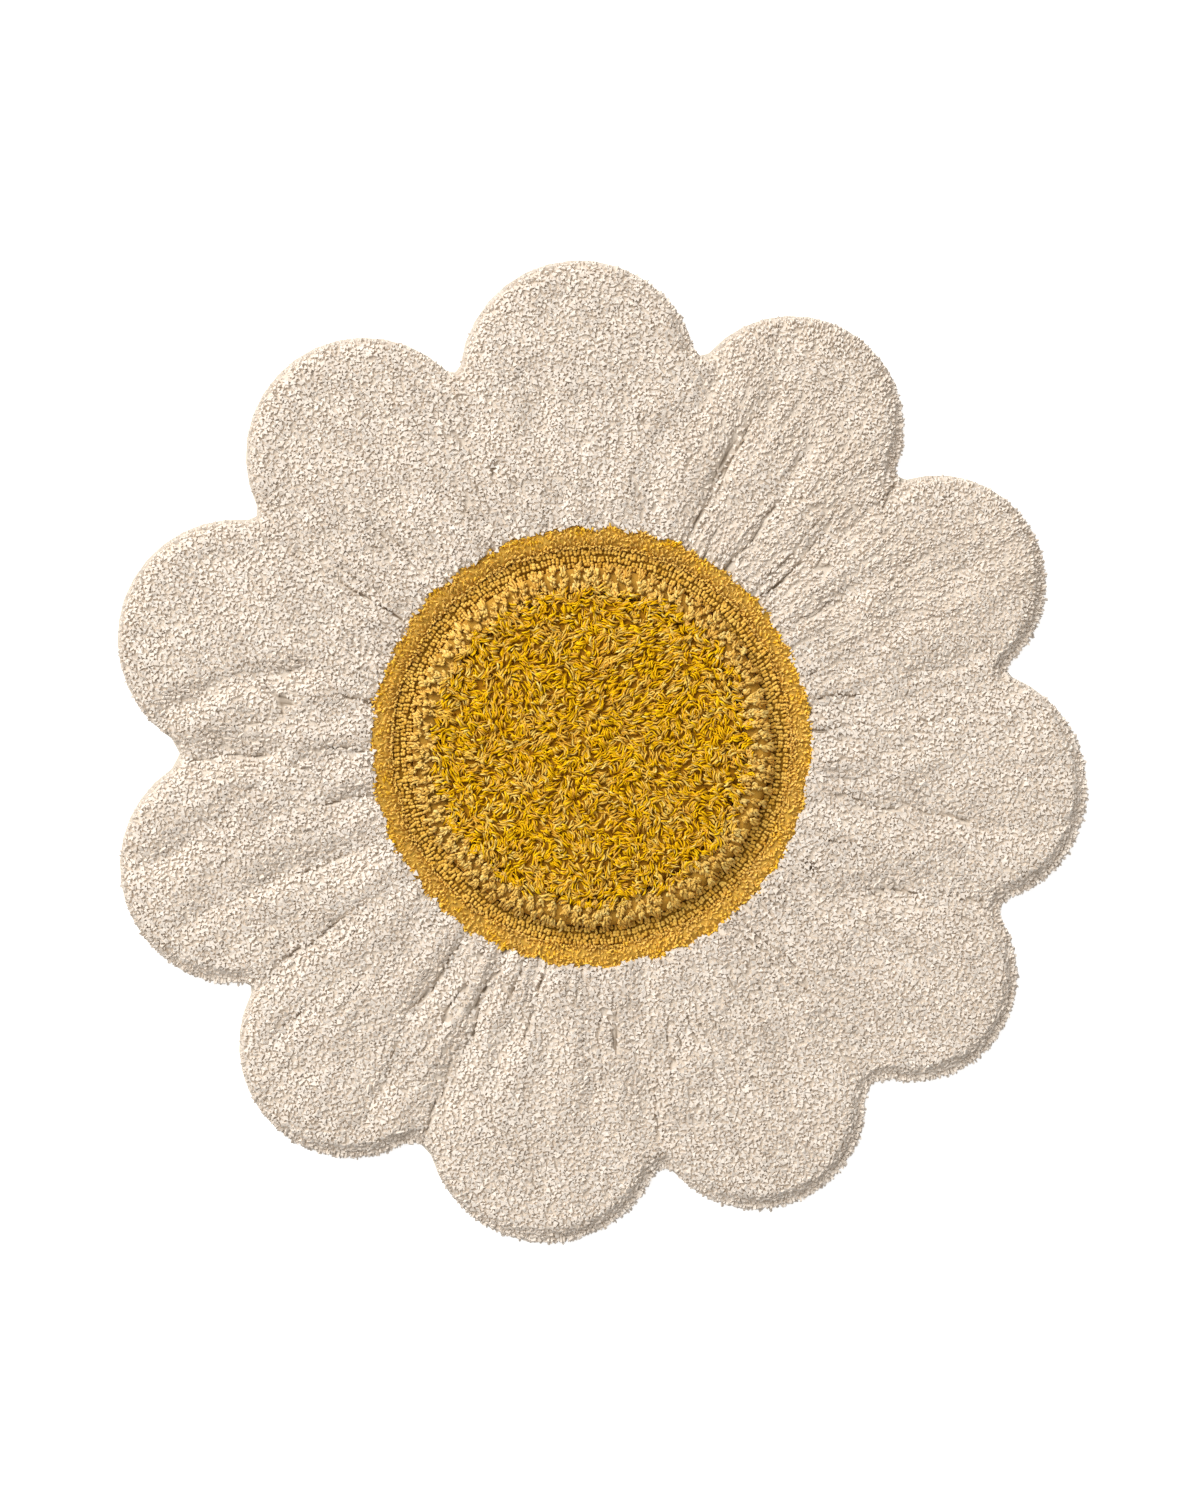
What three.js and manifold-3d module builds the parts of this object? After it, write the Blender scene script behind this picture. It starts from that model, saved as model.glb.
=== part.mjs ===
// Flower-shaped tufted rug, lying flat with its pile up.
// Millimetres, +X to the right, +Y to the top petal, +Z up.
// The origin is the middle of the yellow eye, on the flat underside.

import * as THREE from "three";
import { mergeVertices } from "three/addons/utils/BufferGeometryUtils.js";
import Module from "manifold-3d";

const wasm = await Module();
wasm.setup();

// The gap that neighbouring pieces keep.
const gap = 0.3;

// One row for each petal, anticlockwise from the right-hand one. The round end of a petal is an
// arc about its middle. The notch after it is rounded with a small arc of its own.
const petals = [
  { direction: -6, distance: 462, radius: 145, notchRadius: 11 },
  { direction: 25.5, distance: 469, radius: 131, notchRadius: 11.5 },
  { direction: 58, distance: 462, radius: 136, notchRadius: 10 },
  { direction: 92, distance: 450, radius: 146, notchRadius: 10 },
  { direction: 128, distance: 452, radius: 145, notchRadius: 11 },
  { direction: 163, distance: 454, radius: 146, notchRadius: 22 },
  { direction: 198.5, distance: 458, radius: 143, notchRadius: 9 },
  { direction: 231, distance: 468, radius: 137, notchRadius: 24 },
  { direction: 263, distance: 462, radius: 146, notchRadius: 14.5 },
  { direction: 295, distance: 473, radius: 135, notchRadius: 24 },
  { direction: 324.5, distance: 478, radius: 130, notchRadius: 18.5 },
];
const stepsPerPetal = 14;
const stepsPerNotch = 2;

const backing = { thickness: 2.5, inset: 0 };
const pileFoot = backing.thickness + gap;

// The cream pile leans away from the light, so its field sits a little to the lower right of the
// backing, whose edge shows on the upper left.
const petalPile = { height: 21, inset: 1.5, shiftX: 1.5, shiftY: -1.5, innerRounding: 7 };

// Where the cream field's edge curves down: distance in from its outline, and share of its height.
const petalEdge = [
  { inset: 19, level: 1 },
  { inset: 9, level: 0.92 },
  { inset: 2.5, level: 0.7 },
  { inset: 0, level: 0.36 },
  { inset: 2.5, level: 0 },
];
const petalRings = 7;

// Troughs and parted creases of the cream pile. Each runs straight between two points, given by
// their direction in degrees and distance from the middle of the eye.
const troughs = [
  { from: 164.5, near: 352, to: 170, far: 464, halfWidth: 18, depth: 7 },
  { from: 170, near: 464, to: 175.5, far: 530, halfWidth: 18, depth: 7 },
  { from: 180.5, near: 272, to: 181, far: 350, halfWidth: 9, depth: 5 },
  { from: 181, near: 385, to: 181.5, far: 500, halfWidth: 10, depth: 7 },
  { from: 175, near: 375, to: 176.5, far: 430, halfWidth: 9, depth: 4 },
  { from: 191.5, near: 272, to: 192, far: 345, halfWidth: 11, depth: 5 },
  { from: 194, near: 510, to: 195, far: 578, halfWidth: 16, depth: 5 },
  { from: 203.5, near: 322, to: 203.5, far: 395, halfWidth: 14, depth: 7 },
  { from: 203, near: 395, to: 202.5, far: 545, halfWidth: 14, depth: 4 },
  { from: 214.5, near: 335, to: 214.5, far: 508, halfWidth: 11, depth: 6 },
  { from: 221.8, near: 462, to: 222.3, far: 520, halfWidth: 9, depth: 4 },
  { from: 236, near: 270, to: 236.3, far: 400, halfWidth: 10, depth: 6 },
  { from: 236.3, near: 400, to: 239, far: 535, halfWidth: 11, depth: 5 },
  { from: 246.3, near: 270, to: 247, far: 415, halfWidth: 12, depth: 7 },
  { from: 247, near: 415, to: 246.5, far: 526, halfWidth: 12, depth: 5 },
  { from: 257.5, near: 325, to: 253, far: 400, halfWidth: 13, depth: 5 },
  { from: 257, near: 270, to: 257.5, far: 325, halfWidth: 9, depth: 4 },
  { from: 280, near: 412, to: 279.5, far: 520, halfWidth: 13, depth: 4 },
  { from: 302, near: 455, to: 299, far: 520, halfWidth: 18, depth: 4 },
  { from: 309.8, near: 272, to: 310, far: 345, halfWidth: 9, depth: 4 },
  { from: 309.5, near: 425, to: 310, far: 532, halfWidth: 12, depth: 5 },
  { from: 326, near: 316, to: 334, far: 296, halfWidth: 10, depth: 5 },
  { from: 328.3, near: 270, to: 328.5, far: 312, halfWidth: 9, depth: 4 },
  { from: 330.5, near: 362, to: 337, far: 450, halfWidth: 16, depth: 6 },
  { from: 337, near: 450, to: 338.8, far: 535, halfWidth: 15, depth: 7 },
  { from: 347.5, near: 285, to: 349, far: 400, halfWidth: 10, depth: 4 },
  { from: 349, near: 400, to: 348, far: 560, halfWidth: 12, depth: 5 },
  { from: 10.5, near: 270, to: 12, far: 345, halfWidth: 13, depth: 4 },
  { from: 13, near: 395, to: 12, far: 512, halfWidth: 19, depth: 5 },
  { from: 31.3, near: 282, to: 31.6, far: 350, halfWidth: 9, depth: 4 },
  { from: 41.5, near: 270, to: 42, far: 372, halfWidth: 10, depth: 5 },
  { from: 39, near: 450, to: 42, far: 497, halfWidth: 12, depth: 6 },
  { from: 52.3, near: 270, to: 52.6, far: 385, halfWidth: 11, depth: 7 },
  { from: 52.6, near: 385, to: 54.5, far: 480, halfWidth: 13, depth: 5 },
  { from: 64.5, near: 272, to: 64.2, far: 390, halfWidth: 13, depth: 8 },
  { from: 64.2, near: 390, to: 63, far: 478, halfWidth: 17, depth: 6 },
  { from: 73, near: 400, to: 71, far: 515, halfWidth: 17, depth: 6 },
  { from: 100, near: 392, to: 96.5, far: 465, halfWidth: 18, depth: 4 },
  { from: 111.5, near: 392, to: 110.5, far: 486, halfWidth: 18, depth: 5 },
  { from: 101.5, near: 515, to: 103, far: 552, halfWidth: 16, depth: 4 },
  { from: 131, near: 488, to: 127.5, far: 540, halfWidth: 17, depth: 4 },
  { from: 134, near: 286, to: 134.3, far: 375, halfWidth: 10, depth: 4 },
  { from: 145.7, near: 270, to: 146, far: 380, halfWidth: 12, depth: 6 },
  { from: 146, near: 380, to: 146, far: 496, halfWidth: 14, depth: 4 },
  { from: 152, near: 488, to: 156, far: 545, halfWidth: 17, depth: 5 },
  { from: 157, near: 270, to: 157.5, far: 322, halfWidth: 9, depth: 4 },
  { from: 169, near: 270, to: 169.3, far: 322, halfWidth: 9, depth: 4 },
];

// The eye's zones, from the outside in: outer radius and height of the pile over the floor.
const rim = { outer: 266.5, height: 20 };
const loops = { outer: 241, height: 13, rows: 3, rowDip: 3, columns: 72 };
const longPile = { outer: 219, height: 29, columns: 72, locks: 80, lockReach: 11 };
const shag = { outer: 186, height: 26.5, lump: 3.8, rings: 12, locks: 64, lockReach: 11 };

// How the locks of a zone lie: distance in from its rim and height of their root and bend, the
// height of their tip, and their width and thickness at the bend.
const longLocks = { rootIn: 11, root: 20, bendIn: 2, bend: 24.5, tip: 18.8, width: 13, thickness: 6.5 };
const shagLocks = { rootIn: 13, root: 20, bendIn: 0, bend: 24, tip: 23.4, width: 13.5, thickness: 6.5 };

// The ragged edge between the yellow and the cream pile: waves round the eye, and their size.
const raggedWaves = [
  { waves: 11, size: 1.3, start: 0.5 },
  { waves: 26, size: 1.3, start: 1.9 },
  { waves: 43, size: 1, start: 0.2 },
];

const radians = THREE.MathUtils.degToRad;

function polar(radius, angle, z = 0) {
  return new THREE.Vector3(radius * Math.cos(angle), radius * Math.sin(angle), z);
}

// A small even variation, so that no two neighbours are alike.
function vary(index, amount) {
  return amount * Math.sin(2.4 * index + 0.7) * Math.cos(0.61 * index);
}

// Soft lumps of a pile's top, from 1 to -1, about as far apart as the pitch.
function lumps(x, y, pitch) {
  const turn = (2 * Math.PI) / pitch;
  return Math.sin(turn * x + 1.3 * Math.sin(0.4 * turn * y)) * Math.cos(turn * y * 0.9 + 0.8);
}

// Gathers triangles into a geometry, and leaves out those that have shrunk to a line.
class Faces {
  position = [];

  add(a, b, c) {
    const flat = a.distanceTo(b) < 1e-6 || b.distanceTo(c) < 1e-6 || c.distanceTo(a) < 1e-6;
    if (!flat) this.position.push(...a.toArray(), ...b.toArray(), ...c.toArray());
  }

  addQuad(a, b, c, d) {
    this.add(a, b, c);
    this.add(a, c, d);
  }

  geometry() {
    const geometry = new THREE.BufferGeometry();
    geometry.setAttribute("position", new THREE.Float32BufferAttribute(this.position, 3));
    return geometry;
  }
}

// A closed ring from its sections, one closed row of points for each column, joined all the way
// round.
function loftRound(sections) {
  const faces = new Faces();
  sections.forEach((section, column) => {
    const next = sections[(column + 1) % sections.length];
    section.forEach((point, row) => {
      const after = (row + 1) % section.length;
      faces.addQuad(point, section[after], next[after], next[row]);
    });
  });
  return faces.geometry();
}

function toSolid(geometry) {
  const merged = mergeVertices(geometry, 1e-5);
  return new wasm.Manifold(new wasm.Mesh({
    numProp: 3,
    vertProperties: new Float32Array(merged.attributes.position.array),
    triVerts: new Uint32Array(merged.index.array),
  }));
}

function toGeometry(solid) {
  const mesh = solid.getMesh();
  const geometry = new THREE.BufferGeometry();
  geometry.setAttribute("position", new THREE.BufferAttribute(new Float32Array(mesh.vertProperties), 3));
  geometry.setIndex(new THREE.BufferAttribute(new Uint32Array(mesh.triVerts), 1));
  return geometry;
}

function middleOf(petal) {
  return polar(petal.distance, radians(petal.direction));
}

// The middle of the small arc that rounds the notch between a petal and the next one. It touches
// both petals' arcs from outside, on the side away from the eye.
function notchMiddle(petal, next) {
  const start = middleOf(petal);
  const between = middleOf(next).sub(start);
  const apart = between.length();
  const reach = petal.radius + petal.notchRadius;
  const nextReach = next.radius + petal.notchRadius;
  const along = (apart ** 2 + reach ** 2 - nextReach ** 2) / (2 * apart);
  const outward = Math.sqrt(reach ** 2 - along ** 2);
  between.normalize();
  return new THREE.Vector3(
    start.x + between.x * along + between.y * outward,
    start.y + between.y * along - between.x * outward,
    0,
  );
}

function angleFrom(middle, point) {
  return Math.atan2(point.y - middle.y, point.x - middle.x);
}

// Stations along the outline, anticlockwise. Each lies on an arc about its middle, and knows the
// direction in which its column meets the eye.
function outlineStations() {
  const notches = petals.map((petal, index) => notchMiddle(petal, petals[(index + 1) % petals.length]));
  const stations = [];
  petals.forEach((petal, index) => {
    const middle = middleOf(petal);
    const before = notches[(index + petals.length - 1) % petals.length];
    const after = notches[index];
    const nextMiddle = middleOf(petals[(index + 1) % petals.length]);
    const turn = 2 * Math.PI;
    const start = angleFrom(middle, before);
    const sweep = (angleFrom(middle, after) - start + turn) % turn;
    const eyeStart = angleFrom(new THREE.Vector3(), before);
    const eyeSweep = (angleFrom(new THREE.Vector3(), after) - eyeStart + turn) % turn;
    const share = stepsPerPetal + stepsPerNotch;
    for (let step = 0; step <= stepsPerPetal; step += 1) {
      stations.push({
        middle,
        angle: start + (sweep * step) / stepsPerPetal,
        radius: petal.radius,
        insetSign: -1,
        eyeAngle: eyeStart + (eyeSweep * (step + stepsPerNotch / 2)) / share,
      });
    }
    const notchStart = angleFrom(after, middle);
    const notchSweep = (notchStart - angleFrom(after, nextMiddle) + turn) % turn;
    for (let step = 1; step < stepsPerNotch; step += 1) {
      stations.push({
        middle: after,
        angle: notchStart - (notchSweep * step) / stepsPerNotch,
        radius: petal.notchRadius,
        insetSign: 1,
        eyeAngle: eyeStart + (eyeSweep * (stepsPerPetal + stepsPerNotch / 2 + step)) / share,
      });
    }
  });
  return stations;
}

const stations = outlineStations();

function outlinePoint(station, inset) {
  return polar(station.radius + station.insetSign * inset, station.angle).add(station.middle);
}

function raggedEdge(angle) {
  return raggedWaves.reduce(
    (radius, wave) => radius + wave.size * Math.sin(wave.waves * angle + wave.start),
    rim.outer,
  );
}

// How far the troughs push the cream pile down at a place.
function troughDepth(x, y) {
  let deepest = 0;
  for (const trough of troughs) {
    const start = polar(trough.near, radians(trough.from));
    const end = polar(trough.far, radians(trough.to));
    const run = end.clone().sub(start);
    const place = new THREE.Vector3(x, y, 0).sub(start);
    const along = THREE.MathUtils.clamp(place.dot(run) / run.lengthSq(), 0, 1);
    const away = place.distanceTo(run.multiplyScalar(along)) / trough.halfWidth;
    const soft = THREE.MathUtils.smoothstep(1 - away, 0, 1);
    deepest = Math.max(deepest, trough.depth * soft);
  }
  return deepest;
}

function petalTop(x, y) {
  return petalPile.height + 1.1 * lumps(x, y, 74) + 0.7 * lumps(y, x, 39) - troughDepth(x, y);
}

function backingCloth() {
  const shape = new THREE.Shape(stations.map((station) => {
    const point = outlinePoint(station, backing.inset);
    return new THREE.Vector2(point.x, point.y);
  }));
  return new THREE.ExtrudeGeometry(shape, { depth: backing.thickness, bevelEnabled: false });
}

// The cream field. Each column runs from the eye's ragged edge, over the top and down the round
// outer edge, and back along the flat underside.
function petalPileField() {
  const shift = new THREE.Vector3(petalPile.shiftX, petalPile.shiftY, 0);
  const sections = stations.map((station) => {
    const innerRadius = raggedEdge(station.eyeAngle) + gap;
    const inner = polar(innerRadius, station.eyeAngle);
    const innerTop = polar(innerRadius + petalPile.innerRounding, station.eyeAngle);
    const edge = petalEdge.map((row) => {
      const point = outlinePoint(station, petalPile.inset + row.inset).add(shift);
      const top = petalTop(point.x, point.y);
      point.z = pileFoot + row.level * (top - pileFoot);
      return point;
    });
    const section = [
      inner.clone().setZ(pileFoot),
      inner.clone().setZ(petalTop(inner.x, inner.y) - 3),
    ];
    for (let ring = 0; ring < petalRings; ring += 1) {
      const point = innerTop.clone().lerp(edge[0].clone().setZ(0), ring / petalRings);
      section.push(point.setZ(petalTop(point.x, point.y)));
    }
    section.push(...edge);
    return section;
  });
  return loftRound(sections);
}

// A ring of pile between two radii, from its profile: share of the way out, and height.
function pileRing(columns, angleAt, innerAt, outerAt, profile) {
  const sections = [];
  for (let column = 0; column < columns; column += 1) {
    const angle = angleAt(column);
    const inner = innerAt(angle);
    const outer = outerAt(angle);
    sections.push(profile(column).map((row) => polar(inner + (outer - inner) * row.across, angle, row.height)));
  }
  return loftRound(sections);
}

function evenAngle(columns) {
  return (column) => (2 * Math.PI * column) / columns;
}

function rimPile() {
  const top = (column, part) => rim.height + vary(column, 1.2) + vary(3 * column + part, 0.8);
  return pileRing(
    stations.length,
    (column) => stations[column].eyeAngle,
    () => loops.outer + gap,
    (angle) => raggedEdge(angle),
    (column) => [
      { across: 0, height: pileFoot },
      { across: 0, height: rim.height - 5 },
      { across: 0.2, height: top(column, 0) },
      { across: 0.75, height: top(column, 1) },
      { across: 1, height: rim.height - 3 },
      { across: 1, height: pileFoot },
    ],
  );
}

// The rows of loops, as rounded ridges with dips between them.
function loopRing() {
  const profile = (column) => {
    const section = [{ across: 0, height: pileFoot }, { across: 0, height: loops.height - loops.rowDip }];
    for (let row = 0; row < loops.rows; row += 1) {
      const middle = (row + 0.5) / loops.rows;
      section.push({ across: middle, height: loops.height + vary(5 * column + row, 0.6) });
      if (row < loops.rows - 1) {
        section.push({ across: (row + 1) / loops.rows, height: loops.height - loops.rowDip });
      }
    }
    section.push({ across: 1, height: loops.height - loops.rowDip }, { across: 1, height: pileFoot });
    return section;
  };
  return pileRing(loops.columns, evenAngle(loops.columns), () => longPile.outer + gap, () => loops.outer, profile);
}

// One three-sided lock of pile, bent once, from inside its slab to its blunt tip.
function lock(path, width, thickness) {
  const along = path[2].clone().sub(path[0]).setZ(0).normalize();
  const across = new THREE.Vector3(-along.y, along.x, 0);
  const sections = path.map((point, index) => {
    const size = index === 2 ? 0.35 : 1;
    const left = point.clone().addScaledVector(across, (size * width) / 2);
    const right = point.clone().addScaledVector(across, (-size * width) / 2);
    left.z -= (size * thickness) / 3;
    right.z -= (size * thickness) / 3;
    return [left, right, point.clone().setZ(point.z + (size * thickness * 2) / 3)];
  });
  const faces = new Faces();
  for (let part = 0; part < 2; part += 1) {
    const [near, far] = [sections[part], sections[part + 1]];
    for (let side = 0; side < 3; side += 1) {
      const next = (side + 1) % 3;
      faces.addQuad(near[next], near[side], far[side], far[next]);
    }
  }
  faces.add(...sections[0]);
  faces.add(...sections[2].reverse());
  return faces.geometry();
}

// Locks that fan out over a slab's rim, fused into it at their roots.
function addLocks(slab, zone, lie) {
  let solid = toSolid(slab);
  for (let index = 0; index < zone.locks; index += 1) {
    const angle = (2 * Math.PI * (index + vary(index, 0.12))) / zone.locks;
    const lean = vary(7 * index, 0.02);
    const path = [
      polar(zone.outer - lie.rootIn, angle, lie.root),
      polar(zone.outer - lie.bendIn, angle + lean / 2, lie.bend + vary(index, 0.8)),
      polar(zone.outer + zone.lockReach + vary(index + 11, 2), angle + lean, lie.tip),
    ];
    const geometry = lock(path, lie.width + vary(index + 4, 0.8), lie.thickness);
    solid = solid.add(toSolid(geometry));
  }
  return toGeometry(solid);
}

// The long ochre pile. It slopes up from the shag's rim to a ridge, and its locks lean out over
// the loops without touching them.
function longPileRing() {
  const slab = pileRing(
    longPile.columns,
    evenAngle(longPile.columns),
    () => shag.outer + gap,
    () => longPile.outer,
    (column) => [
      { across: 0, height: pileFoot },
      { across: 0, height: 11 },
      { across: 0.42, height: 20 + vary(column, 1) },
      { across: 0.68, height: longPile.height + vary(3 * column, 1.4) },
      { across: 0.94, height: longPile.height - 4 + vary(5 * column, 1.2) },
      { across: 1, height: 18 },
      { across: 1, height: pileFoot },
    ],
  );
  return addLocks(slab, longPile, longLocks);
}

// The shag: a lumpy disc, with locks at its rim that lie over the slope of the long pile. Its
// points lie on even rings, six more to each ring than to the one inside it.
function shagDisc() {
  const ringPoints = (ring, radius, heightAt) => {
    const count = Math.max(1, 6 * ring);
    return Array.from({ length: count }, (_, index) => {
      return polar(radius, (2 * Math.PI * index) / count, heightAt(6 * ring * ring + index));
    });
  };
  const lumpyTop = (ring) => (index) => {
    const edgeDrop = ring === shag.rings ? 6 : 0;
    return shag.height - edgeDrop + vary(index, shag.lump);
  };
  const faces = new Faces();
  let inner = ringPoints(0, 0, lumpyTop(0));
  for (let ring = 1; ring <= shag.rings; ring += 1) {
    const outer = ringPoints(ring, (shag.outer * ring) / shag.rings, lumpyTop(ring));
    outer.forEach((point, index) => {
      const side = Math.floor(index / ring);
      const across = index - side;
      const next = outer[(index + 1) % outer.length];
      faces.add(inner[across % inner.length], point, next);
      if (index % ring < ring - 1) {
        faces.add(inner[across % inner.length], next, inner[(across + 1) % inner.length]);
      }
    });
    inner = outer;
  }
  const foot = inner.map((point) => point.clone().setZ(pileFoot));
  const middle = new THREE.Vector3(0, 0, pileFoot);
  inner.forEach((point, index) => {
    const next = (index + 1) % inner.length;
    faces.addQuad(point, foot[index], foot[next], inner[next]);
    faces.add(foot[index], middle, foot[next]);
  });
  return addLocks(faces.geometry(), shag, shagLocks);
}

function cloth(color, roughness = 1) {
  return new THREE.MeshStandardMaterial({ color, roughness, metalness: 0 });
}

const nodes = [
  { name: "backing_cloth", geometry: backingCloth(), material: cloth(0xe2d8c8) },
  { name: "petal_pile", geometry: petalPileField(), material: cloth(0xded2c3) },
  { name: "rim_pile", geometry: rimPile(), material: cloth(0xcf9e2f) },
  { name: "loop_ring", geometry: loopRing(), material: cloth(0xbe913c) },
  { name: "long_pile_ring", geometry: longPileRing(), material: cloth(0xc89b50) },
  { name: "shag_disc", geometry: shagDisc(), material: cloth(0xe0a51c) },
];

const rug = new THREE.Group();
for (const node of nodes) {
  const mesh = new THREE.Mesh(node.geometry, node.material);
  mesh.name = node.name;
  rug.add(mesh);
}

export default rug;
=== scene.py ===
import math

import bpy
import numpy as np
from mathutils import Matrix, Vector, noise
from mathutils.bvhtree import BVHTree
from mathutils.kdtree import KDTree


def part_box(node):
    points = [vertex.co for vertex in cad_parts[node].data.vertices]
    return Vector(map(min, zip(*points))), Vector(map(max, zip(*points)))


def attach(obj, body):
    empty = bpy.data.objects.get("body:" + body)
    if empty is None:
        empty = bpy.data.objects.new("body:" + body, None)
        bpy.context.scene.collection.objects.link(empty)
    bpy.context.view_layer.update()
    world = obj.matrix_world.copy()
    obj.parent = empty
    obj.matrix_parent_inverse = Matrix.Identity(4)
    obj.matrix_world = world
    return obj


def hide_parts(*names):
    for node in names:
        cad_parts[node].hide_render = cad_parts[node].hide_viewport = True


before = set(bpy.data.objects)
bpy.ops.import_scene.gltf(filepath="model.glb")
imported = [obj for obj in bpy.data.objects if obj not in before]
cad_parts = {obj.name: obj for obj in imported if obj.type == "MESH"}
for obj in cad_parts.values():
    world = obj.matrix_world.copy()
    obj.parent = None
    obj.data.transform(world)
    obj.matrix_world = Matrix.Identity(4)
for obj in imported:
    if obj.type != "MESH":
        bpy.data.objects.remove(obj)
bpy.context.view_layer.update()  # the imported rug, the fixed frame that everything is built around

mm = 0.001
fullTurn = 2 * math.pi


def colour(red, green, blue):  # a colour as a picture gives it, 0 to 255, made linear
    shares = [value / 255 for value in (red, green, blue)]
    linear = [s / 12.92 if s <= 0.04045 else ((s + 0.055) / 1.055) ** 2.4 for s in shares]
    return (*linear, 1.0)


def around(radius, angle):
    return np.stack([radius * np.cos(angle), radius * np.sin(angle)], axis=-1)


# Camera, straight above the rug

cameraSet = {
    "height": 5.0,
    "middle": (10.4 * mm, -3.7 * mm),  # where the picture's middle falls on the rug
    "pictureHeight": 1831.2 * mm,      # how much floor the picture's long side covers
    "pileLevel": 12 * mm,
    "sensor": 36.0,
}


def addCamera():
    bpy.ops.object.camera_add(location=(*cameraSet["middle"], cameraSet["height"]), rotation=(0, 0, 0))
    camera = bpy.context.object
    distance = cameraSet["height"] - cameraSet["pileLevel"]
    camera.data.sensor_width = cameraSet["sensor"]
    camera.data.lens = cameraSet["sensor"] * distance / cameraSet["pictureHeight"]
    bpy.context.scene.camera = camera


# Finishes

class Wire:  # a socket that takes part in sums
    def __init__(self, finish, socket):
        self.finish = finish
        self.socket = socket

    def sum(self, operation, first, second):
        return self.finish.node("ShaderNodeMath", {"operation": operation}, {0: first, 1: second})

    def __add__(self, other):
        return self.sum("ADD", self, other)

    def __radd__(self, other):
        return self.sum("ADD", other, self)

    def __sub__(self, other):
        return self.sum("SUBTRACT", self, other)

    def __rsub__(self, other):
        return self.sum("SUBTRACT", other, self)

    def __mul__(self, other):
        return self.sum("MULTIPLY", self, other)

    def __rmul__(self, other):
        return self.sum("MULTIPLY", other, self)


class Finish:  # a material, and short ways to its nodes
    def __init__(self, name):
        self.material = bpy.data.materials.new(name)
        self.material.use_nodes = True
        self.tree = self.material.node_tree
        self.shader = self.tree.nodes["Principled BSDF"]

    def node(self, kind, settings=None, inputs=None, output=0):
        made = self.tree.nodes.new(kind)
        for setting, value in (settings or {}).items():
            if setting == "stops":
                self.setStops(made.color_ramp, value)
            else:
                setattr(made, setting, value)
        for name, value in (inputs or {}).items():
            self.put(made.inputs[name], value)
        return Wire(self, made.outputs[output])

    def setStops(self, ramp, stops):
        while len(ramp.elements) < len(stops):
            ramp.elements.new(0.5)
        for element, (place, shade) in zip(ramp.elements, stops):
            element.position = place
            element.color = shade

    def put(self, socket, value):
        if isinstance(value, Wire):
            self.tree.links.new(value.socket, socket)
        else:
            socket.default_value = value

    def set(self, **inputs):
        for name, value in inputs.items():
            self.put(self.shader.inputs[name.replace("_", " ")], value)

    def places(self):
        return self.node("ShaderNodeTexCoord", output="Object")

    def attribute(self, name):
        return self.node("ShaderNodeAttribute", {"attribute_name": name}, output="Fac")

    def cloud(self, size, detail=2.0, places=None):
        inputs = {"Vector": places or self.places(), "Scale": 1 / size, "Detail": detail}
        return self.node("ShaderNodeTexNoise", inputs=inputs, output="Fac")

    def ramp(self, factor, stops):
        return self.node("ShaderNodeValToRGB", {"stops": stops}, {"Fac": factor}, output="Color")

    def mix(self, factor, first, second, blend="MIX"):
        settings = {"data_type": "RGBA", "blend_type": blend}
        return self.node("ShaderNodeMix", settings, {0: factor, 6: first, 7: second}, output=2)

    def bump(self, height, strength, distance):
        inputs = {"Height": height, "Strength": strength, "Distance": distance}
        return self.node("ShaderNodeBump", inputs=inputs, output="Normal")


def cottonYarn(name, colours, paintedRootShade, cloudSize, fibre):
    finish = Finish(name)
    shade = finish.attribute("shade")
    rise = finish.attribute("rise")
    patches = finish.cloud(cloudSize, 3.0)
    picked = finish.ramp(shade, colours)
    faded = finish.mix((patches - 0.35) * 1.2, picked, (0.86, 0.84, 0.82, 1), "MULTIPLY")
    # painted shade: each tuft's colour darkens toward its root, standing in for the shade deep in the pile
    depth = finish.ramp(rise, [(0.0, paintedRootShade), (0.75, (1, 1, 1, 1))])
    base = finish.mix(1.0, faded, depth, "MULTIPLY")
    twist = finish.cloud(fibre["size"], 4.0)
    finish.set(
        Base_Color=base,
        Roughness=fibre["roughness"],
        Specular_IOR_Level=fibre["gloss"],
        Normal=finish.bump(twist, fibre["bump"], fibre["depth"]),
    )
    return finish.material


creamFinish = {
    "colours": [
        # painted shade: this darkest stop colours only the ground deep in the creases; the tufts start past
        # 0.08
        (0.0, colour(150, 134, 117)), (0.08, colour(221, 208, 193)),
        (0.4, colour(229, 217, 203)), (1.0, colour(235, 225, 213)),
    ],
    "paintedRootShade": (0.9, 0.88, 0.84, 1),
    "cloudSize": 90 * mm,
    "fibre": {"size": 1.8 * mm, "roughness": 0.95, "gloss": 0.05, "bump": 0.3, "depth": 0.4 * mm},
}
mustardFinish = {
    "colours": [
        (0.0, colour(234, 194, 104)), (0.5, colour(242, 200, 94)), (1.0, colour(250, 204, 42)),
    ],
    "paintedRootShade": (0.5, 0.42, 0.24, 1),
    "cloudSize": 60 * mm,
    "fibre": {"size": 0.9 * mm, "roughness": 0.95, "gloss": 0.05, "bump": 0.3, "depth": 0.3 * mm},
}
loopFinish = {
    "colours": [(0.0, colour(214, 164, 62)), (1.0, colour(244, 200, 98))],
    "paintedRootShade": (0.34, 0.27, 0.11, 1),
    "cloudSize": 50 * mm,
    "fibre": {"size": 1.4 * mm, "roughness": 0.95, "gloss": 0.05, "bump": 0.8, "depth": 0.5 * mm},
}
longFinish = {
    "colours": [(0.0, colour(237, 186, 87)), (0.6, colour(252, 210, 113)), (1.0, colour(255, 226, 142))],
    "paintedRootShade": (0.5, 0.42, 0.24, 1),
    "cloudSize": 50 * mm,
    "fibre": {"size": 0.8 * mm, "roughness": 0.9, "gloss": 0.05, "bump": 0.5, "depth": 0.3 * mm},
}
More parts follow.
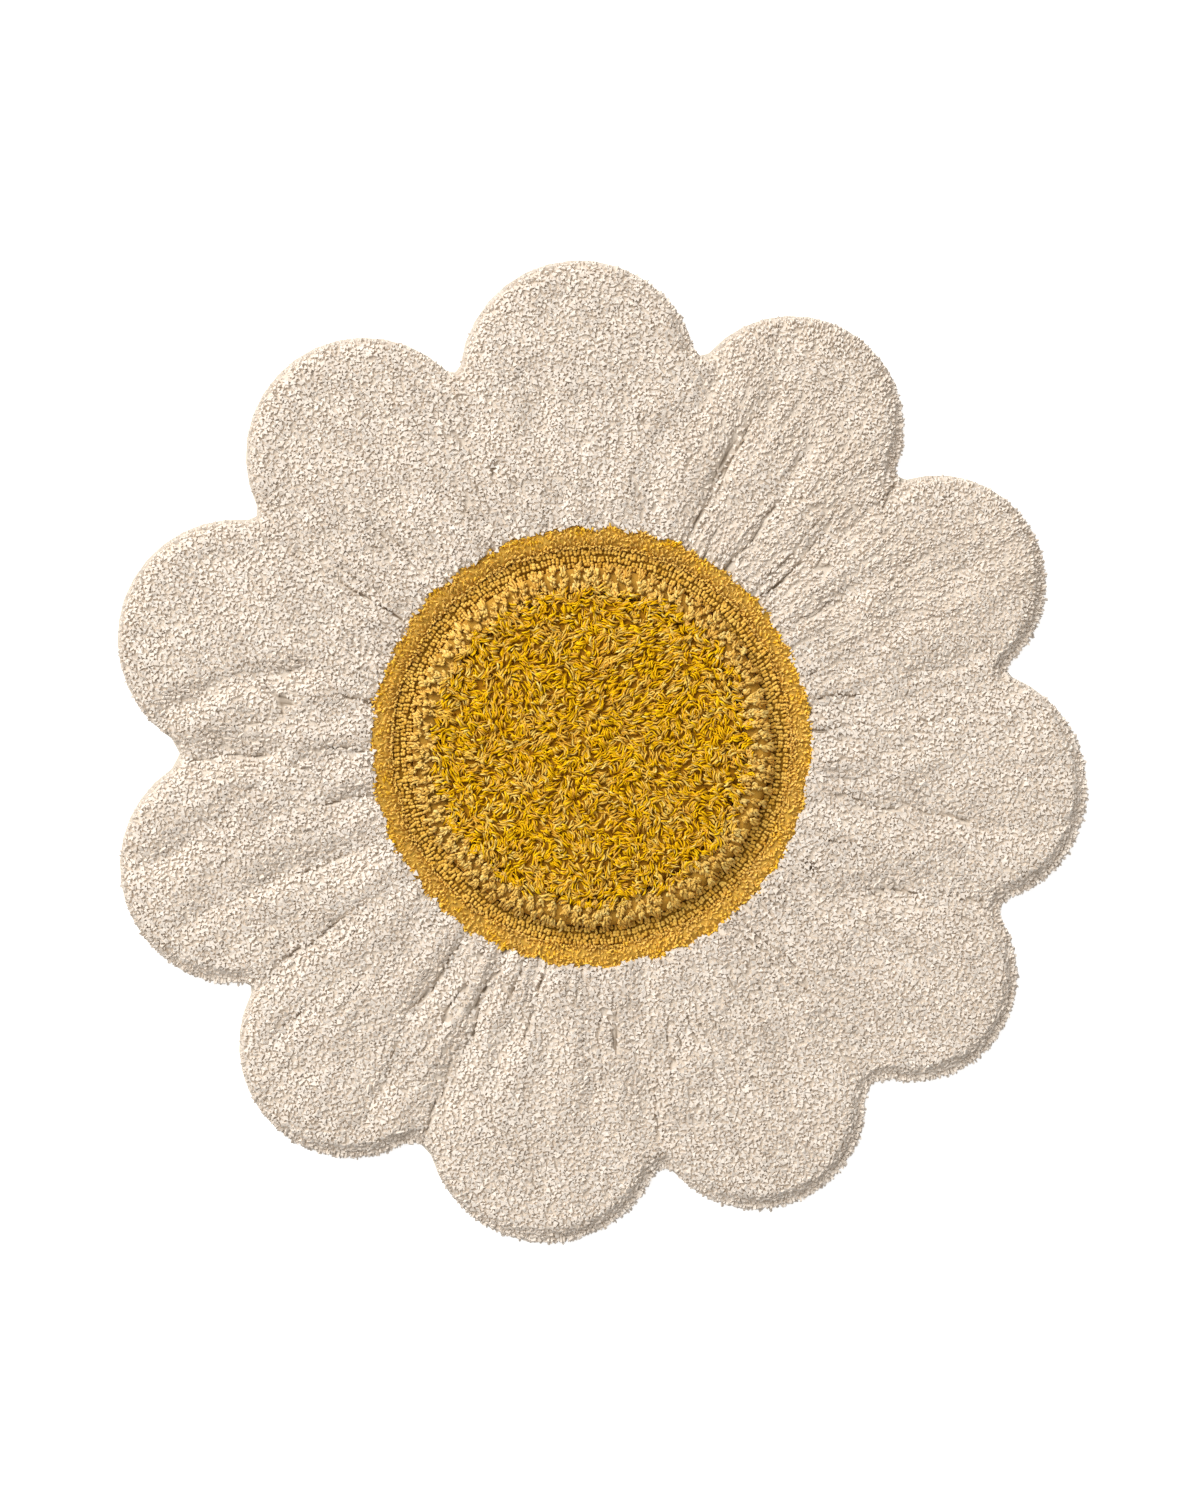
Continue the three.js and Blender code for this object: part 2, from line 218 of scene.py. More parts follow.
shagFinish = {
    "colours": [
        (0.0, colour(240, 182, 58)), (0.3, colour(250, 206, 88)), (0.42, colour(254, 224, 124)),
        (0.5, colour(246, 192, 28)), (0.75, colour(252, 198, 12)), (1.0, colour(255, 210, 26)),
    ],
    "paintedRootShade": (0.38, 0.26, 0.05, 1),
    "cloudSize": 50 * mm,
    "fibre": {"size": 0.8 * mm, "roughness": 0.85, "gloss": 0.05, "bump": 0.5, "depth": 0.3 * mm},
}
backingFinish = {
    "thread": 1.6 * mm,
    "light": colour(238, 230, 216),
    "dark": colour(206, 194, 176),
}


def wovenCotton(name):
    finish = Finish(name)
    places = finish.places()
    turn = fullTurn / backingFinish["thread"]
    waves = []
    for axis in ("X", "Y"):
        across = finish.node("ShaderNodeSeparateXYZ", inputs={"Vector": places}, output=axis)
        waves.append(finish.node("ShaderNodeMath", {"operation": "SINE"}, {0: across * turn}))
    weave = 0.5 + waves[0] * waves[1] * 0.5
    wear = finish.cloud(40 * mm, 4.0)
    base = finish.mix(weave * 0.25 + wear * 0.6, backingFinish["dark"], backingFinish["light"])
    finish.set(
        Base_Color=base,
        Roughness=0.95,
        Specular_IOR_Level=0.15,
        Normal=finish.bump(weave, 0.35, 0.3 * mm),
    )
    return finish.material


# The yarn pieces that are modelled once and copied

def deselect():
    if bpy.context.object and bpy.context.object.mode != "OBJECT":
        bpy.ops.object.mode_set(mode="OBJECT")
    bpy.ops.object.select_all(action="DESELECT")


def modelYarn(sides, rows):  # a closed bud or strand along Z, one row for each ring; the last is its tip
    deselect()
    bpy.ops.mesh.primitive_circle_add(vertices=sides, radius=rows[0]["radius"], fill_type="NGON")
    yarn = bpy.context.object
    bpy.ops.object.mode_set(mode="EDIT")
    for below, row in zip(rows, rows[1:]):
        rise = row["height"] - below["height"]
        widen = row["radius"] / below["radius"]
        bpy.ops.mesh.extrude_region_move(TRANSFORM_OT_translate={"value": (0, 0, rise)})
        bpy.ops.transform.resize(value=(widen, widen, 1))
    bpy.ops.mesh.merge(type="CENTER")
    layOut()
    return yarn


def modelLoop(arch):  # an uncut loop: a round yarn turned through a half circle
    deselect()
    bpy.ops.mesh.primitive_circle_add(
        vertices=arch["sides"], radius=arch["yarn"], fill_type="NGON", location=(arch["span"], 0, 0)
    )
    loop = bpy.context.object
    bpy.ops.object.mode_set(mode="EDIT")
    bpy.ops.mesh.spin(steps=arch["steps"], angle=-math.pi, center=(0, 0, 0), axis=(0, 1, 0))
    bpy.ops.mesh.select_all(action="SELECT")
    bpy.ops.transform.resize(value=(1, arch["plump"], 1))
    layOut()
    bpy.ops.object.transform_apply(location=True, rotation=True, scale=True)
    return loop


def layOut():  # closes seams, turns faces outward and lays the faces out flat, once for all copies
    bpy.ops.mesh.select_all(action="SELECT")
    bpy.ops.mesh.remove_doubles(threshold=1e-6)
    bpy.ops.mesh.normals_make_consistent(inside=False)
    bpy.ops.uv.smart_project(angle_limit=math.radians(66), island_margin=0.04)
    bpy.ops.object.mode_set(mode="OBJECT")


def readModel(piece):  # the model's points, faces and layout as arrays; the model itself is removed
    mesh = piece.data
    points = np.array([vertex.co for vertex in mesh.vertices])
    levels = np.unique(points[:, 2].round(6))
    corners = np.array([loop.vertex_index for loop in mesh.loops])
    model = {
        "points": points,
        "row": np.searchsorted(levels, points[:, 2].round(6)),
        "rise": (points[:, 2] - levels[0]) / (levels[-1] - levels[0]),
        "corners": corners,
        "sides": np.array([face.loop_total for face in mesh.polygons]),
        "layout": np.array([corner.uv for corner in mesh.uv_layers.active.data]),
    }
    bpy.data.objects.remove(piece)
    return model


def joinCopies(name, model, points, shade):  # one mesh from all copies, each with its patch of the map
    count, size = points.shape[:2]
    corners = (model["corners"][None] + size * np.arange(count)[:, None]).ravel()
    sides = np.tile(model["sides"], count)
    mesh = bpy.data.meshes.new(name)
    mesh.vertices.add(count * size)
    mesh.vertices.foreach_set("co", points.astype(np.float32).ravel())
    mesh.loops.add(len(corners))
    mesh.loops.foreach_set("vertex_index", corners.astype(np.int32))
    mesh.polygons.add(len(sides))
    mesh.polygons.foreach_set("loop_start", (np.cumsum(sides) - sides).astype(np.int32))
    mesh.update(calc_edges=True)
    mesh.shade_smooth()
    addValues(mesh, "shade", np.repeat(shade, size))
    addValues(mesh, "rise", np.tile(model["rise"], count))
    across = math.ceil(math.sqrt(count))
    index = np.arange(count)
    cell = np.stack([index % across, index // across], axis=-1)
    layout = (cell[:, None] + 0.04 + 0.92 * model["layout"][None]) / across
    bakeMap = mesh.uv_layers.new(name="OFBake")
    bakeMap.data.foreach_set("uv", layout.astype(np.float32).ravel())
    piece = bpy.data.objects.new(name, mesh)
    bpy.context.scene.collection.objects.link(piece)
    return piece


def addValues(mesh, name, values):
    layer = mesh.attributes.new(name, "FLOAT", "POINT")
    layer.data.foreach_set("value", values.astype(np.float32))


def unit(vectors):
    return vectors / np.maximum(np.linalg.norm(vectors, axis=-1, keepdims=True), 1e-9)


def bendAlong(model, path, facing, size, width=1):  # each copy's rings set across its own path
    ahead = unit(np.gradient(path, axis=1))
    side = unit(facing[:, None] - (facing[:, None] * ahead).sum(-1, keepdims=True) * ahead)
    lift = np.cross(ahead, side)
    row = model["row"]
    across = model["points"][:, 0][None, :, None] * (size * width)[:, None, None]
    up = model["points"][:, 1][None, :, None] * size[:, None, None]
    return path[:, row] + across * side[:, row] + up * lift[:, row]


def hexPlaces(reach, pitch, jitter, draw):  # an even, slightly shaken field of places
    rowStep = pitch * math.sqrt(3) / 2
    rows = int(reach / rowStep) + 1
    columns = int(reach / pitch) + 1
    row, column = np.meshgrid(np.arange(-rows, rows + 1), np.arange(-columns, columns + 1), indexing="ij")
    x = (column + 0.5 * (row % 2)) * pitch
    y = row * rowStep
    places = np.stack([x.ravel(), y.ravel()], axis=-1)
    return places + draw.uniform(-jitter, jitter, places.shape) * pitch


def drift(places, size, seed):  # soft noise over the rug, from -1 to 1
    return np.array([noise.noise(Vector((x / size, y / size, seed))) for x, y in places])


def driftBoth(places, size, seedX, seedY):  # a soft shift of each place along X and Y
    return np.stack([drift(places, size, seedX), drift(places, size, seedY)], axis=-1)


def radialDrift(places, across, along, seed):  # soft noise drawn out along the petals
    angle = np.arctan2(places[:, 1], places[:, 0])
    ring = around(300 * mm / across, angle)
    rise = np.linalg.norm(places, axis=-1) / along + seed
    return np.array([noise.noise(Vector((x, y, z))) for (x, y), z in zip(ring, rise)])


def rest(piece, slot, material, *nodes):
    piece.data.materials.append(material)
    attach(piece, "root")
    if nodes:
        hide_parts(*nodes)
    return piece


# The cotton backing

backing = {
    "width": 1184.5 * mm,
    "length": 1199.5 * mm,
    "cutArea": 1.028,
    "softEdge": 0.7 * mm,
}


def mergedCopy(node, name):  # the CAD node stays as it is; only its copy is merged
    deselect()
    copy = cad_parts[node].copy()
    copy.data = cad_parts[node].data.copy()
    copy.name = name
    copy.data.name = name
    copy.data.materials.clear()
    for tag in [tag for tag in copy.keys() if tag.startswith("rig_")]:
        del copy[tag]
    bpy.context.scene.collection.objects.link(copy)
    copy.select_set(True)
    bpy.context.view_layer.objects.active = copy
    bpy.ops.object.mode_set(mode="EDIT")
    bpy.ops.mesh.select_all(action="SELECT")
    bpy.ops.mesh.remove_doubles(threshold=1e-5)
    return copy


def makeBacking():
    cloth = mergedCopy("backing_cloth", "backing_cloth_sheet")
    bpy.ops.mesh.dissolve_limited(angle_limit=math.radians(1))
    bpy.ops.object.mode_set(mode="OBJECT")
    bevel = cloth.modifiers.new("soft edge", "BEVEL")
    bevel.width = backing["softEdge"]
    bevel.segments = 2
    bevel.limit_method = "ANGLE"
    bevel.angle_limit = math.radians(60)
    bpy.ops.object.modifier_apply(modifier=bevel.name)
    rest(cloth, "backing_cotton", wovenCotton("woven backing cotton"), "backing_cloth")
    return cloth


# The outline and the broad surface of the cream pile, read from the CAD nodes

edge = {
    "shift": (1.5 * mm, -1.5 * mm),  # the pile leans away from the light, past its backing
    "inset": 1.5 * mm,
    "step": 1.5 * mm,
    "rounding": [(0, 0.36), (2.5, 0.7), (9, 0.92), (19, 1.0)],  # mm in from the outline, share of height
    "tilt": [(0, 82), (2.5, 58), (9, 24), (19, 8), (32, 0)],    # mm in from the outline, degrees outward
    "lee": (0.67, -0.74),   # the way the pile leans, away from the light; there its edge is a steep bank
    "leeRounding": [(0, 0.15), (6, 0.4), (12, 0.74), (16, 0.95), (20, 1.0)],
    "leeTilt": [(0, 84), (6, 64), (12, 58), (16, 34), (20, 8)],
    "leeDrop": 0.2,         # how much lower the edge's own tufts sit there
    "leeTurn": 12,          # and how much less they turn outward, in degrees
}
pileFoot = 2.8 * mm


def smoothOutline():
    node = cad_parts["backing_cloth"]
    points = np.array([vertex.co[:] for vertex in node.data.vertices])
    low = np.unique(points[points[:, 2] < 0.1 * mm][:, :2].round(6), axis=0)
    low = low[np.argsort(np.arctan2(low[:, 1], low[:, 0]))]
    share = np.linspace(0, 1, 16, endpoint=False)[None, :, None]
    before, here, after, beyond = (np.roll(low, turn, axis=0)[:, None] for turn in (1, 0, -1, -2))
    curve = 0.5 * (
        2 * here + (after - before) * share
        + (2 * before - 5 * here + 4 * after - beyond) * share ** 2
        + (3 * here - before - 3 * after + beyond) * share ** 3
    )
    curve = curve.reshape(-1, 2)
    closed = np.vstack([curve, curve[:1]])
    travelled = np.concatenate([[0], np.cumsum(np.linalg.norm(np.diff(closed, axis=0), axis=1))])
    stops = np.arange(0, travelled[-1], edge["step"])
    even = np.stack([np.interp(stops, travelled, closed[:, axis]) for axis in (0, 1)], axis=-1)
    ahead = unit(np.roll(even, -3, axis=0) - np.roll(even, 3, axis=0))
    away = np.stack([ahead[:, 1], -ahead[:, 0]], axis=-1)
    return even + edge["shift"] - away * edge["inset"], away


outline, outward = smoothOutline()
outlineTree = KDTree(len(outline))
for index, point in enumerate(outline):
    outlineTree.insert((*point, 0), index)
outlineTree.balance()


def nearestEdge(places):  # how far in from the outline each place is, and the way outward there
    nearest = np.array([outlineTree.find((x, y, 0))[1] for x, y in places])
    gap = outline[nearest] - places
    away = outward[nearest]
    return (gap * away).sum(-1), away, np.linalg.norm(gap, axis=-1)


class Surface:  # a smooth height map over a CAD node's top
    def __init__(self, node, step, passes):
        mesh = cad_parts[node].data
        corners = [vertex.co for vertex in mesh.vertices]
        tree = BVHTree.FromPolygons(corners, [face.vertices[:] for face in mesh.polygons])
        low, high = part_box(node)
        self.step = step
        self.low = np.array([low.x, low.y]) - 10 * step
        counts = np.ceil((np.array([high.x, high.y]) - self.low) / step).astype(int) + 10
        heights = np.zeros(counts)
        known = np.zeros(counts)
        down = Vector((0, 0, -1))
        for column in range(counts[0]):
            for row in range(counts[1]):
                x, y = self.low + (column * step, row * step)
                hit = tree.ray_cast(Vector((x, y, 0.1)), down)[0]
                if hit is not None:
                    heights[column, row] = hit.z
                    known[column, row] = 1
        self.known = known
        self.heights = heights
        self.passes = passes

    def soften(self, keep):  # spreads the kept heights evenly, also past the edge
        total = self.heights * keep
        weight = keep.astype(float)
        for _ in range(self.passes):
            for axis in (0, 1):
                total = (np.roll(total, 1, axis) + total + np.roll(total, -1, axis)) / 3
                weight = (np.roll(weight, 1, axis) + weight + np.roll(weight, -1, axis)) / 3
        self.soft = np.where(weight > 1e-9, total / np.maximum(weight, 1e-9), self.heights.max())
        self.slopes = np.gradient(self.soft, self.step)

    def grid(self):
        columns, rows = self.heights.shape
        column, row = np.meshgrid(np.arange(columns), np.arange(rows), indexing="ij")
        return np.stack([column.ravel(), row.ravel()], axis=-1) * self.step + self.low

    def read(self, values, places):
        spot = (places - self.low) / self.step
        spot = np.clip(spot, 0, np.array(values.shape) - 2)
        cell = spot.astype(int)
        along = spot - cell
        x, y = cell[:, 0], cell[:, 1]
        left = values[x, y] * (1 - along[:, 1]) + values[x, y + 1] * along[:, 1]
        right = values[x + 1, y] * (1 - along[:, 1]) + values[x + 1, y + 1] * along[:, 1]
        return left * (1 - along[:, 0]) + right * along[:, 0]


# Where the yellow eye ends: waves as in the CAD solids, and short teeth where rows of tufts end
eyeEdge = {
    "radius": 266.5 * mm,
    "waves": [(11, 1.3, 0.5), (26, 1.3, 1.9), (43, 1.0, 0.2)],  # waves round the eye, mm, start
    "teeth": 78,
    "toothDepth": 3.3 * mm,
}


def eyeRadius(angle):
    draw = np.random.default_rng(41)
    radius = np.full_like(angle, eyeEdge["radius"])
    for waves, size, start in eyeEdge["waves"]:
        radius = radius + size * mm * np.sin(waves * angle + start)
    teeth = eyeEdge["teeth"]
    stops = np.sort(draw.uniform(0, 1, teeth) * 0.6 + np.arange(teeth)) / teeth
    lean = draw.choice([-1.0, 1.0], teeth) * draw.uniform(0.4, 1.0, teeth)
    turn = (angle / fullTurn) % 1
    tooth = np.searchsorted(stops, turn, side="right") - 1
    start = stops[tooth]
    end = np.where(tooth + 1 < len(stops), stops[(tooth + 1) % len(stops)], stops[0] + 1)
    start = np.where(tooth < 0, stops[-1] - 1, start)
    end = np.where(tooth < 0, stops[0], end)
    share = (turn - start) / (end - start)
    return radius + eyeEdge["toothDepth"] * lean[tooth] * (share - 0.5) * 2


cutTufts = {
    "narrowing": 0.2,  # how much narrower the combed ones are
    "crispFrom": 50,   # degrees, sharper edges than this stay crisp: where a tuft was cut
}


# The cream petals

petals = {
    "reach": 620 * mm,
    "core": 430 * mm,       # nothing within this distance of the eye's middle is past the outline
    "pitch": 4.6 * mm,
    "jitter": 0.34,
    "clump": 1.0 * mm,      # how far neighbouring tufts draw together
    "clumpSize": 8 * mm,
    "combing": 11 * mm,     # how strongly they draw together into ridges along the petals
    "ridge": 1.5 * mm,
    "ridges": (6.5 * mm, 42 * mm),  # how far apart they lie, across and along
    "combedPatches": 70 * mm,
    "combedFade": 14,       # degrees, over which the combed side fades into the swirls
    "length": 6.0 * mm,     # how far a tuft goes down from its tip
    "lean": 1.5 * mm,
    "swirlSize": 17 * mm,
    "combedLean": 3.2 * mm,
    "combedFrom": 8,        # degrees, where the pile lies combed outward
    "combedTo": 80,
    "margin": 1.8 * mm,     # how far in from the outline the field of tufts ends
    "nearEdge": 30 * mm,
    "edgePitch": 2.7 * mm,
    "cover": 3.4 * mm,      # how far the tufts' tips stand over their ground
    "groundLumps": 1.6 * mm,
    "groundLumpSize": 5 * mm,
    "groundGap": 1.2 * mm,  # from the yellow pile
    "groundInset": 3.6 * mm,
    "paintedShadeDepth": 3.5 * mm,  # how deep a crease is where the painted shade on its ground is darkest
    "groundColumns": 940,
    "groundRows": 24,
}
tuftRows = [
    {"height": 0, "radius": 2.0 * mm},
    {"height": 4.6 * mm, "radius": 3.2 * mm},
    {"height": 5.2 * mm, "radius": 0.8 * mm},
]
# The tufts that draw the outline: mm in from it, share of the pile's height, degrees outward, size
edgeRows = [
    {"inset": 1.2, "level": 0.56, "tilt": 66, "size": 0.62},
    {"inset": 0.2, "level": 0.38, "tilt": 82, "size": 0.62},
    {"inset": 0.4, "level": 0.22, "tilt": 96, "size": 0.62},
    {"inset": 1.4, "level": 0.08, "tilt": 104, "size": 0.62},
]
bankRows = [  # more of them, on the bank of the lee side only
    {"inset": 2.4, "level": 0.24, "tilt": 70, "size": 0.8},
    {"inset": 4.4, "level": 0.34, "tilt": 66, "size": 0.85},
    {"inset": 6.4, "level": 0.44, "tilt": 64, "size": 0.85},
    {"inset": 8.6, "level": 0.56, "tilt": 62, "size": 0.85},
    {"inset": 10.8, "level": 0.68, "tilt": 60, "size": 0.85},
    {"inset": 13.0, "level": 0.8, "tilt": 56, "size": 0.85},
]

# Thin creases where the pile parts. Each runs from a direction in degrees and a distance in mm from
# the middle of the eye to another, with its half width and depth in mm.
creaseColumns = ("from", "near", "to", "far", "half", "depth")
creaseRows = [
    (64.5, 270, 64.0, 465, 2.6, 5.5),
    (52.4, 268, 52.8, 385, 2.5, 5.5),
    (52.8, 385, 55.0, 420, 2.6, 5),
    (44.0, 290, 44.2, 365, 2.2, 4),
    (41.5, 270, 41.8, 370, 2.6, 6),
    (39.0, 450, 42.0, 497, 2.8, 6),
    (31.4, 285, 31.6, 345, 2.6, 6),
    (17.0, 272, 20.5, 315, 2.2, 4),
    (10.5, 270, 12.0, 345, 2.6, 5),
    (134.0, 290, 134.3, 375, 2.4, 5),
    (145.9, 268, 146.2, 380, 2.8, 6),
    (157.0, 268, 157.3, 320, 2.4, 5),
    (169.0, 268, 169.3, 320, 2.4, 5),
    (180.5, 272, 180.8, 350, 2.6, 6),
    (181.0, 385, 181.5, 500, 2.5, 5.5),
    (175.0, 375, 176.5, 430, 2.4, 4),
    (191.5, 270, 191.9, 345, 2.8, 6),
    (203.5, 322, 203.6, 395, 2.6, 5.5),
    (214.5, 335, 214.6, 508, 2.8, 6),
    (221.9, 462, 222.2, 520, 2.4, 5),
    (236.0, 268, 236.2, 400, 2.8, 6),
    (236.2, 400, 239.0, 535, 2.6, 5),
    (246.3, 268, 247.0, 415, 2.5, 5.5),
    (247.0, 415, 246.5, 526, 3.0, 6),
    (257.5, 268, 257.6, 325, 2.4, 5),
    (257.0, 330, 257.4, 380, 2.4, 5),
    (268.9, 333, 269.0, 382, 2.2, 4),
    (280.0, 412, 279.8, 490, 2.4, 5),
    (301.5, 356, 306.5, 362, 2.4, 4),
    (309.8, 275, 310.0, 345, 2.6, 5),
    (309.5, 475, 309.7, 515, 2.4, 5),
    (326.0, 316, 329.0, 309, 2.6, 6),
    (329.0, 309, 335.0, 295, 2.6, 6),
    (328.3, 270, 328.4, 312, 2.4, 5),
    (330.5, 362, 337.0, 450, 2.8, 6),
    (337.0, 450, 338.8, 535, 2.6, 5.5),
    (339.0, 280, 339.3, 365, 2.4, 5),
    (347.5, 290, 349.0, 400, 2.4, 5),
    (349.0, 400, 348.6, 490, 2.4, 5),
    (356.0, 270, 358.0, 320, 2.4, 5),
]
creases = [dict(zip(creaseColumns, row)) for row in creaseRows]
parting = {
    "waver": 9.0 * mm,        # how far a crease strays from its straight run
    "waverSize": 42 * mm,
    "smallWaver": 3.0 * mm,
    "smallWaverSize": 12 * mm,
    "breaks": 16 * mm,        # about how far apart it closes up
    "pressed": 0.6,           # share of its half width that is pressed down
    "parted": 2.0,            # share of it over which the tufts part
    "push": 1.6 * mm,
    "bare": 0.9 * mm,         # on either side of its line, where no tufts stand
    "groundWiden": 1.5,       # how much wider the ground under it parts
    "veins": (17 * mm, 90 * mm),  # across and along, of the fine short creases between the swells
    "veinPatches": (50 * mm, 60 * mm),
    "veinDepth": 4.0 * mm,
    "veinBare": 0.7,
}


def veinShare(places):  # fine short creases, where drawn-out noise changes sign
    line = np.clip(1 - np.abs(radialDrift(places, *parting["veins"], 61.0)) / 0.1, 0, 1)
    where = np.clip(radialDrift(places, *parting["veinPatches"], 67.0) * 5 + 0.35, 0, 1)
    radius = np.linalg.norm(places, axis=-1)
    fade = np.interp(radius, [380 * mm, 520 * mm], [1.0, 0.25])
    return line * where * fade


def combedShare(places):  # 1 where the pile lies combed along the petals, 0 where it lies in swirls
    degrees = np.degrees(np.arctan2(places[:, 1], places[:, 0])) % 360
    middle = (petals["combedFrom"] + petals["combedTo"]) / 2
    reach = (petals["combedTo"] - petals["combedFrom"]) / 2
    share = np.clip((reach - np.abs(degrees - middle)) / petals["combedFade"], 0, 1)
    return share * np.clip(0.8 + 0.6 * drift(places, petals["combedPatches"], 2.0), 0, 1)


def combRidges(places):  # fine ridges along the petals, strongest where the pile lies combed
    return radialDrift(places, *petals["ridges"], 51.0) * (0.35 + 0.65 * combedShare(places))


def creaseEffect(places, widen=1.0):  # how deep the creases press the pile, and the way they part it
    waver = parting["waver"] * driftBoth(places, parting["waverSize"], 5.0, 9.0)
    waver += parting["smallWaver"] * driftBoth(places, parting["smallWaverSize"], 15.0, 19.0)
    moved = places + waver
    broken = np.clip(0.85 + 0.8 * drift(places, parting["breaks"], 27.0), 0.4, 1)
    vein = veinShare(places)
    depth = parting["veinDepth"] * vein
    push = np.zeros((len(places), 2))
    bare = vein > parting["veinBare"]
    for crease in creases:
        start = around(crease["near"] * mm, np.float64(math.radians(crease["from"])))
        end = around(crease["far"] * mm, np.float64(math.radians(crease["to"])))
        run = end - start
        along = np.clip((moved - start) @ run / (run @ run), 0, 1)
        gap = moved - start - along[:, None] * run
        away = np.linalg.norm(gap, axis=-1)
        ends = np.clip(np.minimum(along, 1 - along) * 6, 0.25, 1)
        near = np.clip(1 - away / (crease["half"] * parting["pressed"] * widen * mm), 0, 1)
        depth = np.maximum(depth, crease["depth"] * mm * ends * broken * np.sqrt(near))
        bare |= (away < parting["bare"] * ends * broken) & (along > 0) & (along < 1)
        wide = np.clip(1 - away / (crease["half"] * parting["parted"] * mm), 0, 1)
        push += unit(gap) * (wide * ends)[:, None]
    return depth, push, bare


broad = {  # the petals' broad surface, without its tufts
    "step": 3 * mm,
    "passes": 7,            # of smoothing
    "bankWidth": 14 * mm,   # left out beside the outline, where the pile curves down
    "eyeMargin": 8 * mm,    # and beside the eye
    "far": 40 * mm,         # further than this from the outline, a place is well inside
    "swell": 3.2 * mm,      # soft swells along the petals
    "swells": (30 * mm, 130 * mm),  # how far apart they lie, across and along
    "roundSwells": 40 * mm,
    "swellFade": [(260, 0.4), (290, 1.0), (420, 1.0), (560, 0.5)],  # mm out, share
}


def petalSurface():
    surface = Surface("petal_pile", broad["step"], broad["passes"])
    places = surface.grid()
    inward, _, distance = nearestEdge(places)
    angle = np.arctan2(places[:, 1], places[:, 0])
    radius = np.linalg.norm(places, axis=-1)
    deep = (inward > broad["bankWidth"]) | (distance > broad["far"])
    deep &= radius > eyeRadius(angle) + broad["eyeMargin"]
    keep = surface.known * deep.reshape(surface.known.shape)
    surface.soften(keep)
    swell = radialDrift(places, *broad["swells"], 71.0) + 0.5 * drift(places, broad["roundSwells"], 73.0)
    out, share = np.array(broad["swellFade"]).T
    fade = np.interp(radius, out * mm, share)
    surface.soft += broad["swell"] * (swell * fade).reshape(surface.soft.shape)
    surface.slopes = np.gradient(surface.soft, surface.step)
    return surface


def leeShare(away):  # 1 where the edge faces away from the light
    return np.clip(1.4 * (away @ np.array(edge["lee"])), 0, 1)


def edgeProfile(kind, leeKind, inward, away):  # between the plain edge and the bank on the lee side
    lee = leeShare(away)
    insets, plain = np.array(edge[kind]).T
    leeInsets, bank = np.array(edge[leeKind]).T
    return np.interp(inward, insets * mm, plain) * (1 - lee) + np.interp(inward, leeInsets * mm, bank) * lee


def pileHeight(surface, places, inward, away):  # the height of the tufts' tips, without the thin creases
    level = edgeProfile("rounding", "leeRounding", inward, away)
    return pileFoot + (surface.read(surface.soft, places) - pileFoot) * level


def makePetalGround(surface, material):  # a closed ring of columns from the eye to the outline
    columns, rows = petals["groundColumns"], petals["groundRows"]
    angle = np.arange(columns) * fullTurn / columns
    border = outline - outward * petals["groundInset"]
    borderAngle = np.arctan2(border[:, 1], border[:, 0])
    order = np.argsort(borderAngle)
    outer = np.interp(angle, borderAngle[order], np.linalg.norm(border, axis=-1)[order], period=fullTurn)
    inner = eyeRadius(angle) + petals["groundGap"]
    share = np.linspace(0, 1, rows) ** 0.9  # the rows lie closer toward the outline
    radius = inner[:, None] + (outer - inner)[:, None] * share
    places = around(radius, angle[:, None]).reshape(-1, 2)
    inward, away, distance = nearestEdge(places)
    inward = np.where(distance < broad["far"], inward, broad["far"])
    depth = creaseEffect(places, parting["groundWiden"])[0]
    height = pileHeight(surface, places, inward, away) - petals["cover"] - depth
    height += petals["groundLumps"] * drift(places, petals["groundLumpSize"], 81.0)
    top = np.concatenate([places, height[:, None]], axis=-1).reshape(columns, rows, 3)
    foot = np.full((columns, 1), pileFoot + 0.1 * mm)
    first = np.concatenate([top[:, 0, :2], foot], axis=-1)[:, None]
    last = np.concatenate([top[:, -1, :2], foot], axis=-1)[:, None]
    points = np.concatenate([first, top, last], axis=1)
    # painted shade: the ground darkens where a crease presses it down, and its low rise gives it the darker
    # root colour, for the shade deep in the pile
    parted = (depth / petals["paintedShadeDepth"]).clip(0, 1).reshape(columns, rows)
    shade = np.pad(0.3 - 0.3 * parted, ((0, 0), (1, 1)))
    return closedRing("petal_ground", points, "cream_pile", material, shade, 0.2)


def closedRing(name, points, slot, material, shade, rise):  # a solid from closed sections
    columns, rows = points.shape[:2]
    column, row = np.meshgrid(np.arange(columns), np.arange(rows), indexing="ij")
    nextColumn, nextRow = (column + 1) % columns, (row + 1) % rows
    faces = np.stack([
        column * rows + row, nextColumn * rows + row, nextColumn * rows + nextRow, column * rows + nextRow
    ], axis=-1).reshape(-1, 4)[:, ::-1]
    mesh = bpy.data.meshes.new(name)
    mesh.from_pydata(points.reshape(-1, 3).tolist(), [], faces.tolist())
    mesh.shade_smooth()
    addValues(mesh, "shade", np.broadcast_to(shade, (columns, rows)).ravel())
    addValues(mesh, "rise", np.full(columns * rows, rise))
    ring = bpy.data.objects.new(name, mesh)
    bpy.context.scene.collection.objects.link(ring)
    return rest(ring, slot, material)


def topPlaces(draw):
    places = hexPlaces(petals["reach"], petals["pitch"], petals["jitter"], draw)
    places += petals["clump"] * driftBoth(places, petals["clumpSize"], 33.0, 37.0)
    angle = np.arctan2(places[:, 1], places[:, 0])
    sideways = around(1.0, angle + math.pi / 2)
    rising = (combRidges(places + sideways * mm) - combRidges(places - sideways * mm)) / 2
    places += sideways * (petals["combing"] * rising)[:, None]
    radius = np.linalg.norm(places, axis=-1)
    places = places[radius > eyeRadius(angle) + 1.6 * mm]
    inward, away, distance = nearestEdge(places)
    inside = np.linalg.norm(places, axis=-1) < petals["core"]
    margin, near = petals["margin"], petals["nearEdge"]
    keep = (inward > margin) | (inside & (distance > near))
    keep &= ~((distance < near) & (inward < margin))
    inward = np.where(distance < broad["far"], inward, broad["far"])
    return places[keep], inward[keep], away[keep]


